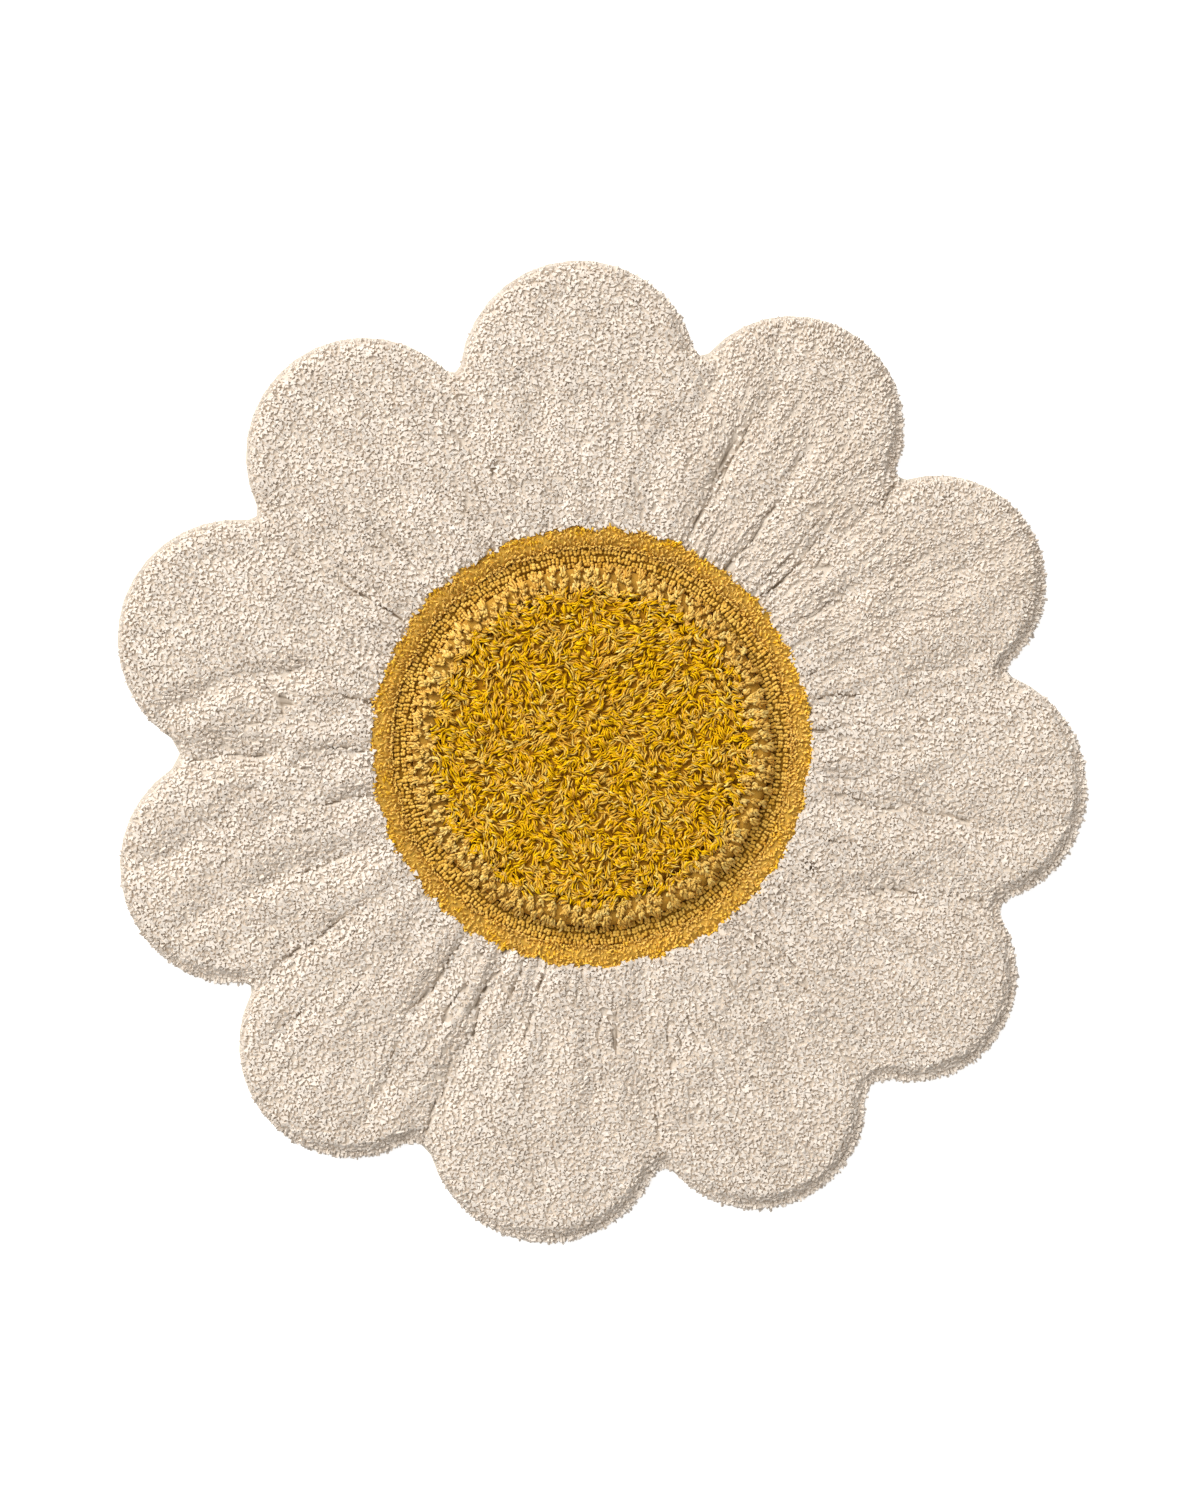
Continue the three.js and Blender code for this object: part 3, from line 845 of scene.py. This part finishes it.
def petalTufts(surface, draw):
    places, inward, away = topPlaces(draw)
    depth, push, bare = creaseEffect(places)
    height = pileHeight(surface, places, inward, away) - depth + petals["ridge"] * combRidges(places)
    tilt = np.radians(edgeProfile("tilt", "leeTilt", inward, away))
    slope = np.stack([surface.read(rise, places) for rise in surface.slopes], axis=-1)
    flat = away * np.sin(tilt)[:, None] - slope * 3.0
    axis = unit(np.concatenate([flat, np.cos(tilt)[:, None]], axis=-1))
    root = np.concatenate([places, height[:, None]], axis=-1)
    return root[~bare], axis[~bare], push[~bare]


def edgeTufts(surface, draw):
    roots, axes, sizes = [], [], []
    for row in edgeRows + bankRows:
        count = int(len(outline) * edge["step"] / petals["edgePitch"])
        index = (np.arange(count) + draw.uniform(-0.3, 0.3, count)) * petals["edgePitch"] / edge["step"]
        index = index.astype(int) % len(outline)
        if row in bankRows:
            index = index[outward[index] @ np.array(edge["lee"]) > draw.uniform(0.15, 0.5, len(index))]
        count = len(index)
        away = outward[index]
        places = outline[index] - away * (row["inset"] * mm + draw.normal(0, 0.6 * mm, count))[:, None]
        top = surface.read(surface.soft, places)
        lee = leeShare(away)
        level = row["level"] * (1 - edge["leeDrop"] * lee) + draw.uniform(-0.06, 0.06, count)
        height = pileFoot + (top - pileFoot) * level
        tilt = np.radians(row["tilt"] - edge["leeTurn"] * lee + draw.uniform(-12, 12, count))
        roots.append(np.concatenate([places, height[:, None]], axis=-1))
        axes.append(np.concatenate([away * np.sin(tilt)[:, None], np.cos(tilt)[:, None]], axis=-1))
        sizes.append(np.full(count, row["size"]))
    return np.concatenate(roots), np.concatenate(axes), np.concatenate(sizes)


def layTufts(model, roots, axes, lean, length, size, draw, combed=0):  # bends each bud from its tip's place
    shares = np.unique(model["rise"].round(4))[None, :, None]
    path = (roots - axes * length[:, None])[:, None] + (axes * length[:, None])[:, None] * shares
    path = path + lean[:, None] * shares ** 2
    turn = draw.uniform(0, fullTurn, len(roots))
    facing = np.stack([np.cos(turn), np.sin(turn), np.full(len(roots), 0.2)], axis=-1)
    sideways = np.stack([-lean[:, 1], lean[:, 0], np.zeros(len(roots))], axis=-1) / mm
    facing += sideways * np.reshape(combed, (-1, 1))
    return bendAlong(model, path, facing, size, 1 - cutTufts["narrowing"] * combed)


def creamLean(places, push, draw):
    count = len(places)
    radial = unit(places)
    combed = combedShare(places)
    swirl = driftBoth(places, petals["swirlSize"], 3.0, 7.0)
    loose = draw.normal(0, 1, (count, 2))
    sign = np.where(draw.uniform(0, 1, count) < 0.8, 1.0, -1.0)
    free = swirl * 1.6 + loose * 0.8
    lean = petals["lean"] * free * (1 - 0.75 * combed)[:, None]
    lean += radial * (petals["combedLean"] * combed * sign)[:, None]
    lean += push * parting["push"]
    return lean


def makePetals(material):
    draw = np.random.default_rng(7)
    surface = petalSurface()
    print("petals: surface read")
    makePetalGround(surface, material)
    roots, axes, push = petalTufts(surface, draw)
    lean = creamLean(roots[:, :2], push, draw)
    edgeRoots, edgeAxes, edgeSizes = edgeTufts(surface, draw)
    edgeLean = draw.normal(0, 1.6 * mm, (len(edgeRoots), 2))
    lee = np.clip(0.5 + edgeAxes[:, :2] @ np.array(edge["lee"]), 0.1, 1.4)
    ragged = draw.exponential(0.9 * mm, len(edgeRoots)).clip(0, 2.4 * mm) * lee
    edgeLean += edgeAxes[:, :2] * ragged[:, None]
    roots = np.concatenate([roots, edgeRoots])
    axes = np.concatenate([axes, edgeAxes])
    lean = np.concatenate([lean, edgeLean])
    lean = np.concatenate([lean, -np.linalg.norm(lean, axis=-1, keepdims=True) * 0.25], axis=-1)
    count = len(roots)
    length = petals["length"] * draw.uniform(0.85, 1.2, count)
    size = draw.normal(1, 0.2, count).clip(0.6, 1.5)
    roots[:, 2] += draw.normal(0, 0.6 * mm, count)
    shade = (0.5 + 0.35 * drift(roots[:, :2], 12 * mm, 11.0) + draw.normal(0, 0.2, count)).clip(0.1, 1)
    model = readModel(modelYarn(3, tuftRows))
    size[count - len(edgeRoots):] *= edgeSizes
    points = layTufts(model, roots, axes, lean, length, size, draw, combedShare(roots[:, :2]))
    points[:, :, 2] = np.maximum(points[:, :, 2], 0.6 * mm)
    quarter = ((np.degrees(np.arctan2(roots[:, 1], roots[:, 0])) + 45) % 360 // 90).astype(int)
    for number, side in enumerate(["right", "top", "left", "bottom"]):
        mine = quarter == number
        piece = joinCopies(f"petal_pile_{side}", model, points[mine], shade[mine])
        piece.data.set_sharp_from_angle(angle=math.radians(cutTufts["crispFrom"]))
        rest(piece, "cream_pile", material, "petal_pile")
        print("petals:", side, int(mine.sum()), "tufts")
    return surface


# The ring of short mustard pile round the eye

rim = {
    "reach": 290 * mm,
    "inner": 241.3 * mm,
    "waver": 2.4 * mm,
    "waverSize": 22 * mm,
    "groundColumns": 720,
    "pitch": 4.2 * mm,
    "jitter": 0.34,
    "length": 8.5 * mm,
    "lean": 5.6 * mm,       # outward
    "innerWidth": 5 * mm,   # of the edge that turns in over the loops
    "swirlSize": 20 * mm,
    "uneven": 1.0 * mm,
    "edgePitch": 3.4 * mm,  # of the tufts that draw its ragged edge
    "profile": [(0, 13.5), (3, 16.5), (8, 19.4), (14, 20.2), (40, 20.2)],  # mm out, mm high
}
rimGround = [(0, 2.9), (0, 8), (0.16, 11), (0.4, 15), (1, 16), (1, 2.9)]  # share of the way out, mm high
rimTuftRows = [
    {"height": 0, "radius": 1.6 * mm},
    {"height": 3 * mm, "radius": 2.1 * mm},
    {"height": 6.6 * mm, "radius": 2.1 * mm},
    {"height": 7.5 * mm, "radius": 0.5 * mm},
]


def rimInner(angle):  # the edge toward the loops, which wavers
    return rim["inner"] + rim["waver"] * drift(around(rim["inner"], angle), rim["waverSize"], 43.0)


def makeRimGround(material):
    angle = np.arange(rim["groundColumns"]) * fullTurn / rim["groundColumns"]
    inner = rimInner(angle) + 1.2 * mm
    outer = eyeRadius(angle) + 0.7 * mm
    share, height = np.array(rimGround).T
    radius = inner[:, None] + (outer - inner)[:, None] * share
    flat = around(radius, angle[:, None])
    tall = np.broadcast_to(height * mm, radius.shape)[:, :, None]
    points = np.concatenate([flat, tall], axis=-1)
    # painted shade: the ground's low rise gives it the darker root colour, for the shade under the tufts
    return closedRing("rim_ground", points, "mustard_pile", material, 0.3, 0.15)


def rimPlaces(draw):  # an even field of tufts, and a row that follows the ragged edge
    places = hexPlaces(rim["reach"], rim["pitch"], rim["jitter"], draw)
    angle = np.arctan2(places[:, 1], places[:, 0])
    radius = np.linalg.norm(places, axis=-1)
    field = places[(radius > rimInner(angle) + 1.4 * mm) & (radius < eyeRadius(angle) - 2.2 * mm)]
    count = int(fullTurn * eyeEdge["radius"] / rim["edgePitch"])
    angle = (np.arange(count) + draw.uniform(-0.3, 0.3, count)) * fullTurn / count
    border = around(eyeRadius(angle) - draw.uniform(0.2, 1.4, count) * mm, angle)
    inner = around(rimInner(angle) + draw.uniform(0.6, 2.6, count) * mm, angle)
    return np.concatenate([field, border, inner])


def makeRim(material):
    draw = np.random.default_rng(17)
    places = rimPlaces(draw)
    count = len(places)
    angle = np.arctan2(places[:, 1], places[:, 0])
    out, high = np.array(rim["profile"]).T * mm
    inside = np.linalg.norm(places, axis=-1) - rimInner(angle)
    height = np.interp(inside, out, high) + rim["uneven"] * drift(places, 30 * mm, 4.0)
    height += draw.normal(0, rim["uneven"], count)
    inner = np.clip(1 - inside / rim["innerWidth"], 0, 1)
    axis = unit(np.concatenate([-unit(places) * (0.6 * inner)[:, None], np.ones((count, 1))], axis=-1))
    heading = angle + 2.4 * drift(places, rim["swirlSize"], 3.0) + draw.normal(0, 0.7, count)
    reach = rim["lean"] * draw.uniform(0.5, 1.2, count) * (1 - 1.6 * inner)
    lean = np.concatenate([around(reach, heading), -np.abs(reach)[:, None] * 0.4], axis=-1)
    roots = np.concatenate([places, height[:, None]], axis=-1)
    model = readModel(modelYarn(3, rimTuftRows))
    length = rim["length"] * draw.uniform(0.85, 1.15, count)
    size = draw.normal(1, 0.18, count).clip(0.65, 1.4)
    points = layTufts(model, roots, axis, lean, length, size, draw, np.full(count, 0.8))
    shade = 0.22 + inside / (60 * mm) + 0.5 * drift(places, 26 * mm, 21.0) + draw.normal(0, 0.12, count)
    piece = joinCopies("rim_tufts", model, points, shade.clip(0, 1))
    piece.data.set_sharp_from_angle(angle=math.radians(cutTufts["crispFrom"]))
    rest(piece, "mustard_pile", material, "rim_pile")
    print("rim:", count, "tufts")


# Grounds of the eye's rings, turned from a profile as by hand

grounds = {
    "loop_ground": [(219.4, 2.9), (219.4, 7.5), (240, 7.5), (243, 8), (243, 2.9)],
    "long_ground": [(186.5, 2.9), (186.5, 18), (196, 20.5), (207, 22), (214, 20), (218.5, 13), (218.5, 2.9)],
}


def makeRingGround(name, slot, material, shade):
    deselect()
    profile = [Vector((radius * mm, 0, height * mm)) for radius, height in grounds[name]]
    bpy.ops.mesh.primitive_plane_add(size=1 * mm, location=profile[0])
    ring = bpy.context.object
    bpy.ops.object.mode_set(mode="EDIT")
    bpy.ops.mesh.merge(type="CENTER")
    for before, after in zip(profile, profile[1:]):
        bpy.ops.mesh.extrude_region_move(TRANSFORM_OT_translate={"value": after - before})
    bpy.ops.mesh.extrude_region_move(TRANSFORM_OT_translate={"value": profile[0] - profile[-1]})
    bpy.ops.mesh.select_all(action="SELECT")
    bpy.ops.mesh.remove_doubles(threshold=1e-6)
    bpy.ops.mesh.spin(steps=180, angle=fullTurn, center=(0, 0, 0), axis=(0, 0, 1))
    bpy.ops.mesh.select_all(action="SELECT")
    bpy.ops.mesh.remove_doubles(threshold=1e-5)
    bpy.ops.mesh.normals_make_consistent(inside=False)
    bpy.ops.object.mode_set(mode="OBJECT")
    bpy.ops.object.transform_apply(location=True, rotation=True, scale=True)
    ring.name = name
    ring.data.name = name
    ring.data.shade_smooth()
    count = len(ring.data.vertices)
    addValues(ring.data, "shade", np.full(count, shade))
    # painted shade: the ground's low rise gives it the darker root colour, for the shade under the loops and
    # strands
    addValues(ring.data, "rise", np.full(count, 0.05))
    return rest(ring, slot, material)


# The ring of uncut loops

loops = {
    "rows": [222.8, 230.6, 238.6],  # mm from the middle of the eye
    "pitch": 4.7 * mm,
    "height": 11.0 * mm,
    "waver": 2.6 * mm,
    "turn": 17,                    # degrees that a loop may stand askew
    "uneven": (0.12, 0.12, 0.14),  # how much its width, thickness and height vary
    "arch": {"sides": 6, "steps": 5, "yarn": 1.95 * mm, "span": 1.9 * mm, "plump": 1.04},
}


def makeLoops(material):
    draw = np.random.default_rng(23)
    radii, angles = [], []
    for row in loops["rows"]:
        count = int(fullTurn * row * mm / loops["pitch"])
        turn = (np.arange(count) + draw.uniform(-0.2, 0.2, count)) * fullTurn / count
        ring = around(row * mm, turn)
        waver = drift(ring, 24 * mm, 43.0) + 0.5 * drift(ring, 11 * mm, 47.0)
        angles.append(turn)
        radii.append(row * mm + loops["waver"] * waver + draw.normal(0, 0.8 * mm, count))
    radius, angle = np.concatenate(radii), np.concatenate(angles)
    count = len(radius)
    heading = angle + np.radians(draw.normal(0, loops["turn"], count))
    model = readModel(modelLoop(loops["arch"]))
    size = np.stack([draw.normal(1, spread, count).clip(0.7, 1.3) for spread in loops["uneven"]], axis=-1)
    scaled = model["points"][None] * size[:, None]
    sine, cosine = np.sin(heading)[:, None], np.cos(heading)[:, None]
    x = scaled[:, :, 0] * cosine - scaled[:, :, 1] * sine
    y = scaled[:, :, 0] * sine + scaled[:, :, 1] * cosine
    middle = around(radius, angle)
    z = scaled[:, :, 2] + loops["height"] + draw.normal(0, 0.9 * mm, count)[:, None]
    points = np.stack([x + middle[:, :1], y + middle[:, 1:], z], axis=-1)
    shade = draw.uniform(0, 1, count)
    piece = joinCopies("loop_pile", model, points, shade)
    rest(piece, "ochre_loops", material, "loop_ring")
    print("loops:", count)


# The long ochre pile, combed outward over the loops in fans

longPile = {
    "rows": [186.5, 195.0, 203.5, 212.0],  # mm from the middle, where the puffs stand
    "pitch": 13.0 * mm,
    "waver": 4 * mm,
    "waverSize": 60 * mm,
    "loose": 1.6 * mm,   # how far a puff may stand from its row
    "strands": 10,       # in each puff
    "spread": 6.4 * mm,  # how far a puff's outer tips lie from its middle
    "comb": 10.0 * mm,   # how far they are drawn outward
    "dome": 4.5 * mm,
    "spiral": 2.4,       # the turn from one strand of a puff to the next
    "lowest": 8 * mm,    # clear of the loops' ground
    "sink": [-6.0, -1.5, 0.0, 0.4, -0.6],  # mm, how a strand rises from its root and dips at its tip
    "profile": [(183, 22.5), (198, 25.0), (207, 26.5), (214, 25), (221, 20.5), (230, 16)],  # mm out, mm high
}
strandRows = [
    {"height": 0 * mm, "radius": 1.2 * mm},
    {"height": 1 * mm, "radius": 1.7 * mm},
    {"height": 2 * mm, "radius": 1.8 * mm},
    {"height": 3 * mm, "radius": 1.6 * mm},
    {"height": 4 * mm, "radius": 0.6 * mm},
]


def longPuffs(draw):  # where each puff of the long pile stands
    radii, angles = [], []
    for row in longPile["rows"]:
        count = int(fullTurn * row * mm / longPile["pitch"])
        turn = (np.arange(count) + draw.uniform(-0.3, 0.3, count)) * fullTurn / count
        angles.append(turn)
        waver = longPile["waver"] * drift(around(row * mm, turn), longPile["waverSize"], 49.0)
        radii.append(row * mm + waver + draw.normal(0, longPile["loose"], count))
    return around(np.concatenate(radii), np.concatenate(angles))


def makeLongPile(material):
    draw = np.random.default_rng(29)
    middles = longPuffs(draw)
    puffCount, each = len(middles), longPile["strands"]
    puff = np.repeat(np.arange(puffCount), each)
    count = len(puff)
    number = np.tile(np.arange(each), puffCount)
    wide = draw.normal(1, 0.2, puffCount).clip(0.6, 1.5)[puff]
    heading = number * longPile["spiral"] + draw.uniform(0, fullTurn, puffCount)[puff]
    heading += draw.normal(0, 0.3, count)
    spread = longPile["spread"] * wide * np.sqrt((number + 0.5) / each) + draw.normal(0, 0.8 * mm, count)
    combed = unit(middles)[puff] * longPile["comb"]
    start = middles[puff] + around(0.25 * spread, heading)
    tip = middles[puff] + around(spread, heading) + combed * draw.uniform(0.3, 1.2, count)[:, None]
    share = np.linspace(0, 1, len(strandRows))[None, :, None]
    flat = start[:, None] + (tip - start)[:, None] * share
    curl = draw.normal(0, 1.0 * mm, count)[:, None, None] * np.sin(math.pi * 1.6 * share)
    flat = flat + curl * around(1.0, heading + math.pi / 2)[:, None]
    radius = np.linalg.norm(flat, axis=-1)
    apart = np.linalg.norm(flat - middles[puff][:, None], axis=-1) / longPile["spread"]
    out, high = np.array(longPile["profile"]).T * mm
    sink = np.array(longPile["sink"])[None] * mm
    lift = draw.normal(0, 1.1 * mm, puffCount)[puff] + draw.normal(0, 0.7 * mm, count)
    height = np.interp(radius, out, high) + sink + lift[:, None] + longPile["dome"] * (0.45 - apart ** 2 / 2)
    path = np.concatenate([flat, np.maximum(height, longPile["lowest"])[:, :, None]], axis=-1)
    model = readModel(modelYarn(3, strandRows))
    facing = np.tile([0.0, 0.0, 1.0], (count, 1)) + draw.normal(0, 0.3, (count, 3))
    points = bendAlong(model, path, facing, draw.normal(1, 0.14, count).clip(0.7, 1.35))
    shade = 0.5 + draw.normal(0, 0.18, puffCount)[puff] + draw.normal(0, 0.18, count)
    piece = joinCopies("long_pile_strands", model, points, shade.clip(0, 1))
    rest(piece, "ochre_long_pile", material, "long_pile_ring")
    print("long pile:", puffCount, "puffs,", count, "strands")


# The shag of the eye, in locks of a few strands

shag = {
    "field": 210 * mm,
    "reach": 195 * mm,
    "ragged": 8 * mm,    # how far its round edge wavers
    "raggedSize": 26 * mm,
    "pitch": 8.8 * mm,
    "jitter": 0.33,
    "strands": 4,        # in each lock
    "beside": 2.1 * mm,  # how far the strands of a lock lie apart
    "length": (10, 20),  # mm, of a lock, from short to long
    "curl": 0.75,        # how far its waves turn it
    "swirl": 3.4,        # how far the lie of the locks turns, and over what distance
    "swirlSize": 46 * mm,
    "lump": 2.0 * mm,
    "lumpSize": 24 * mm,
    "height": 25.5 * mm,
    "rise": [(0, -6.0), (0.2, -1.2), (0.5, 1.4), (0.8, 0.8), (1.0, -0.8)],  # share of its length, mm
    "between": (9 * mm, 33 * mm),  # the lowest and highest that a strand lies
    "foot": 2.9 * mm,
    "groundHeight": 22 * mm,
    "shoulder": 5 * mm,
    "groundRing": 17 * mm,  # between the rings of its flat top
    "radius": 186 * mm,
    "combedMiddle": (60 * mm, 70 * mm),  # where the locks lie across the picture in waves
    "combedReach": 95 * mm,
}
curlRows = [
    {"height": 0 * mm, "radius": 1.0 * mm},
    {"height": 1 * mm, "radius": 1.25 * mm},
    {"height": 2 * mm, "radius": 1.35 * mm},
    {"height": 3 * mm, "radius": 1.3 * mm},
    {"height": 4 * mm, "radius": 1.1 * mm},
    {"height": 5 * mm, "radius": 0.6 * mm},
]


def makeShag(material):
    draw = np.random.default_rng(31)
    locks = hexPlaces(shag["field"], shag["pitch"], shag["jitter"], draw)
    reach = shag["reach"] + shag["ragged"] * drift(locks, shag["raggedSize"], 53.0)
    locks = locks[np.linalg.norm(locks, axis=-1) < reach]
    lockCount = len(locks)
    each = shag["strands"]
    lock = np.repeat(np.arange(lockCount), each)
    count = len(lock)
    apart = np.linalg.norm(locks - np.array(shag["combedMiddle"]), axis=-1)
    combed = np.clip(1.6 * (1 - apart / shag["combedReach"]), 0, 1)
    flow = shag["swirl"] * drift(locks, shag["swirlSize"], 6.0) * (1 - 0.75 * combed) + 0.5 * combed
    flow += draw.normal(0, 0.55, lockCount) * (1 - 0.5 * combed)
    flip = np.where(draw.uniform(0, 1, lockCount) < 0.5, 0.0, math.pi)
    heading = (flow + flip)[lock] + draw.normal(0, 0.16, count)
    bend = draw.normal(0, 0.9, lockCount)[lock] + draw.normal(0, 0.2, count)
    hook = draw.normal(0, 0.9, lockCount)[lock] + draw.normal(0, 0.3, count)
    length = (draw.uniform(*shag["length"], lockCount)[lock] + draw.normal(0, 1.6, count)) * mm
    number = np.tile(np.arange(each) - (each - 1) / 2, lockCount)
    side = number * shag["beside"] * draw.uniform(0.7, 1.15, lockCount)[lock]
    side += draw.normal(0, 0.5 * mm, count)
    along = draw.normal(-0.5, 0.12, count) * length
    start = locks[lock] + around(along, heading) + around(side, heading + math.pi / 2)
    share = np.linspace(0, 1, len(curlRows))[None]
    turn = heading[:, None] + bend[:, None] * (share - 0.4) + hook[:, None] * (share - 0.3) ** 2 * 2.0
    waves = draw.uniform(1.0, 2.0, lockCount)[lock] + draw.normal(0, 0.08, count)
    phase = draw.uniform(0, 1, lockCount)[lock] + draw.normal(0, 0.05, count)
    turn = turn + shag["curl"] * np.sin(fullTurn * (share * waves[:, None] + phase[:, None]))
    step = around(length[:, None] / (len(curlRows) - 1), (turn[:, 1:] + turn[:, :-1]) / 2)
    flat = np.concatenate([np.zeros((count, 1, 2)), np.cumsum(step, axis=1)], axis=1) + start[:, None]
    stages, rises = np.array(shag["rise"]).T
    lift = np.interp(share[0], stages, rises)[None] * mm
    lump = shag["lump"] * drift(locks, shag["lumpSize"], 13.0) + draw.normal(0, 1.0 * mm, lockCount)
    arch = 0.7 * mm * np.cos(number / each * math.pi)
    lump = lump[lock] + arch + draw.normal(0, 0.6 * mm, count)
    tip = np.maximum(share - 0.6, 0) * draw.normal(0, 4 * mm, count)[:, None]
    height = shag["height"] + lift + lump[:, None] + tip
    path = np.concatenate([flat, np.clip(height, *shag["between"])[:, :, None]], axis=-1)
    model = readModel(modelYarn(3, curlRows))
    facing = np.tile([0.0, 0.0, 1.0], (count, 1)) + draw.normal(0, 0.3, (count, 3))
    points = bendAlong(model, path, facing, draw.normal(1, 0.12, count).clip(0.7, 1.3))
    patch = drift(locks, 30 * mm, 17.0) + draw.normal(0, 0.18, lockCount)
    yellow = draw.uniform(0, 1, count) < 0.52 + 0.6 * patch[lock]
    shade = np.where(yellow, draw.uniform(0.5, 1.0, count), draw.uniform(0.0, 0.46, count))
    for name, mine in (("shag_yellow", yellow), ("shag_ochre", ~yellow)):
        piece = joinCopies(name, model, points[mine], shade[mine])
        rest(piece, "yellow_shag", material, "shag_disc")
        print("shag:", name, int(mine.sum()), "strands")


def makeShagGround(material):
    deselect()
    bpy.ops.mesh.primitive_circle_add(
        vertices=96, radius=shag["radius"] - 1 * mm, fill_type="NGON", location=(0, 0, shag["foot"])
    )
    disc = bpy.context.object
    disc.name = "shag_ground"
    disc.data.name = "shag_ground"
    bpy.ops.object.mode_set(mode="EDIT")
    wall = shag["groundHeight"] - shag["foot"] - shag["shoulder"]
    for rise in (wall, shag["shoulder"]):
        bpy.ops.mesh.extrude_region_move(TRANSFORM_OT_translate={"value": (0, 0, rise)})
    bpy.ops.transform.resize(value=(0.95, 0.95, 1))
    for _ in range(9):
        bpy.ops.mesh.inset(thickness=shag["groundRing"], depth=0)
    bpy.ops.mesh.select_all(action="SELECT")
    bpy.ops.mesh.normals_make_consistent(inside=False)
    bpy.ops.object.mode_set(mode="OBJECT")
    bpy.ops.object.transform_apply(location=True, rotation=True, scale=True)
    disc.data.shade_smooth()
    count = len(disc.data.vertices)
    addValues(disc.data, "shade", np.full(count, 0.2))
    # painted shade: the ground's low rise gives it the darker root colour, for the shade under the locks
    addValues(disc.data, "rise", np.full(count, 0.05))
    return rest(disc, "yellow_shag", material)


# Floor and light

studio = {
    "floorSize": 30.0,
    "floorColour": (0.93, 0.93, 0.93, 1),
    "floorGlow": 0.6,
    "keyDistance": 14.0,
    "keySize": 13.0,
    "keyDirection": 132,   # degrees, where the light stands, anticlockwise from the right
    "keyElevation": 42,
    "keyPower": 2620,
    "fill": 0.5,
}


def makeStudio():
    deselect()
    bpy.ops.mesh.primitive_plane_add(size=studio["floorSize"], location=(0, 0, 0))
    floor = bpy.context.object
    floor.name = "floor"
    paper = Finish("white floor")
    paper.set(
        Base_Color=studio["floorColour"],
        Roughness=0.9,
        Specular_IOR_Level=0.0,
        Emission_Color=(1, 1, 1, 1),
        Emission_Strength=studio["floorGlow"],
    )
    floor.data.materials.append(paper.material)
    floor.visible_diffuse = False
    azimuth = math.radians(studio["keyDirection"])
    elevation = math.radians(studio["keyElevation"])
    away = Vector((
        math.cos(azimuth) * math.cos(elevation), math.sin(azimuth) * math.cos(elevation), math.sin(elevation)
    ))
    bpy.ops.object.light_add(type="AREA", location=away * studio["keyDistance"])
    key = bpy.context.object
    key.data.shape = "DISK"
    key.data.size = studio["keySize"]
    key.data.energy = studio["keyPower"]
    key.rotation_euler = away.to_track_quat("Z", "Y").to_euler()
    world = bpy.data.worlds.new("soft fill")
    world.use_nodes = True
    world.node_tree.nodes["Background"].inputs["Color"].default_value = (1, 1, 1, 1)
    world.node_tree.nodes["Background"].inputs["Strength"].default_value = studio["fill"]
    bpy.context.scene.world = world
    bpy.context.scene.view_settings.view_transform = "Standard"


# Building

deselect()
addCamera()
print("camera set")
backingSheet = makeBacking()
print("backing made")
creamYarn = cottonYarn("cream cut pile", **creamFinish)
makePetals(creamYarn)
mustardYarn = cottonYarn("mustard cut pile", **mustardFinish)
makeRimGround(mustardYarn)
makeRim(mustardYarn)
loopYarn = cottonYarn("ochre loop yarn", **loopFinish)
makeRingGround("loop_ground", "ochre_loops", loopYarn, 0.3)
makeLoops(loopYarn)
longYarn = cottonYarn("ochre long yarn", **longFinish)
makeRingGround("long_ground", "ochre_long_pile", longYarn, 0.3)
makeLongPile(longYarn)
shagYarn = cottonYarn("yellow shag yarn", **shagFinish)
makeShagGround(shagYarn)
makeShag(shagYarn)
makeStudio()
print("studio set")
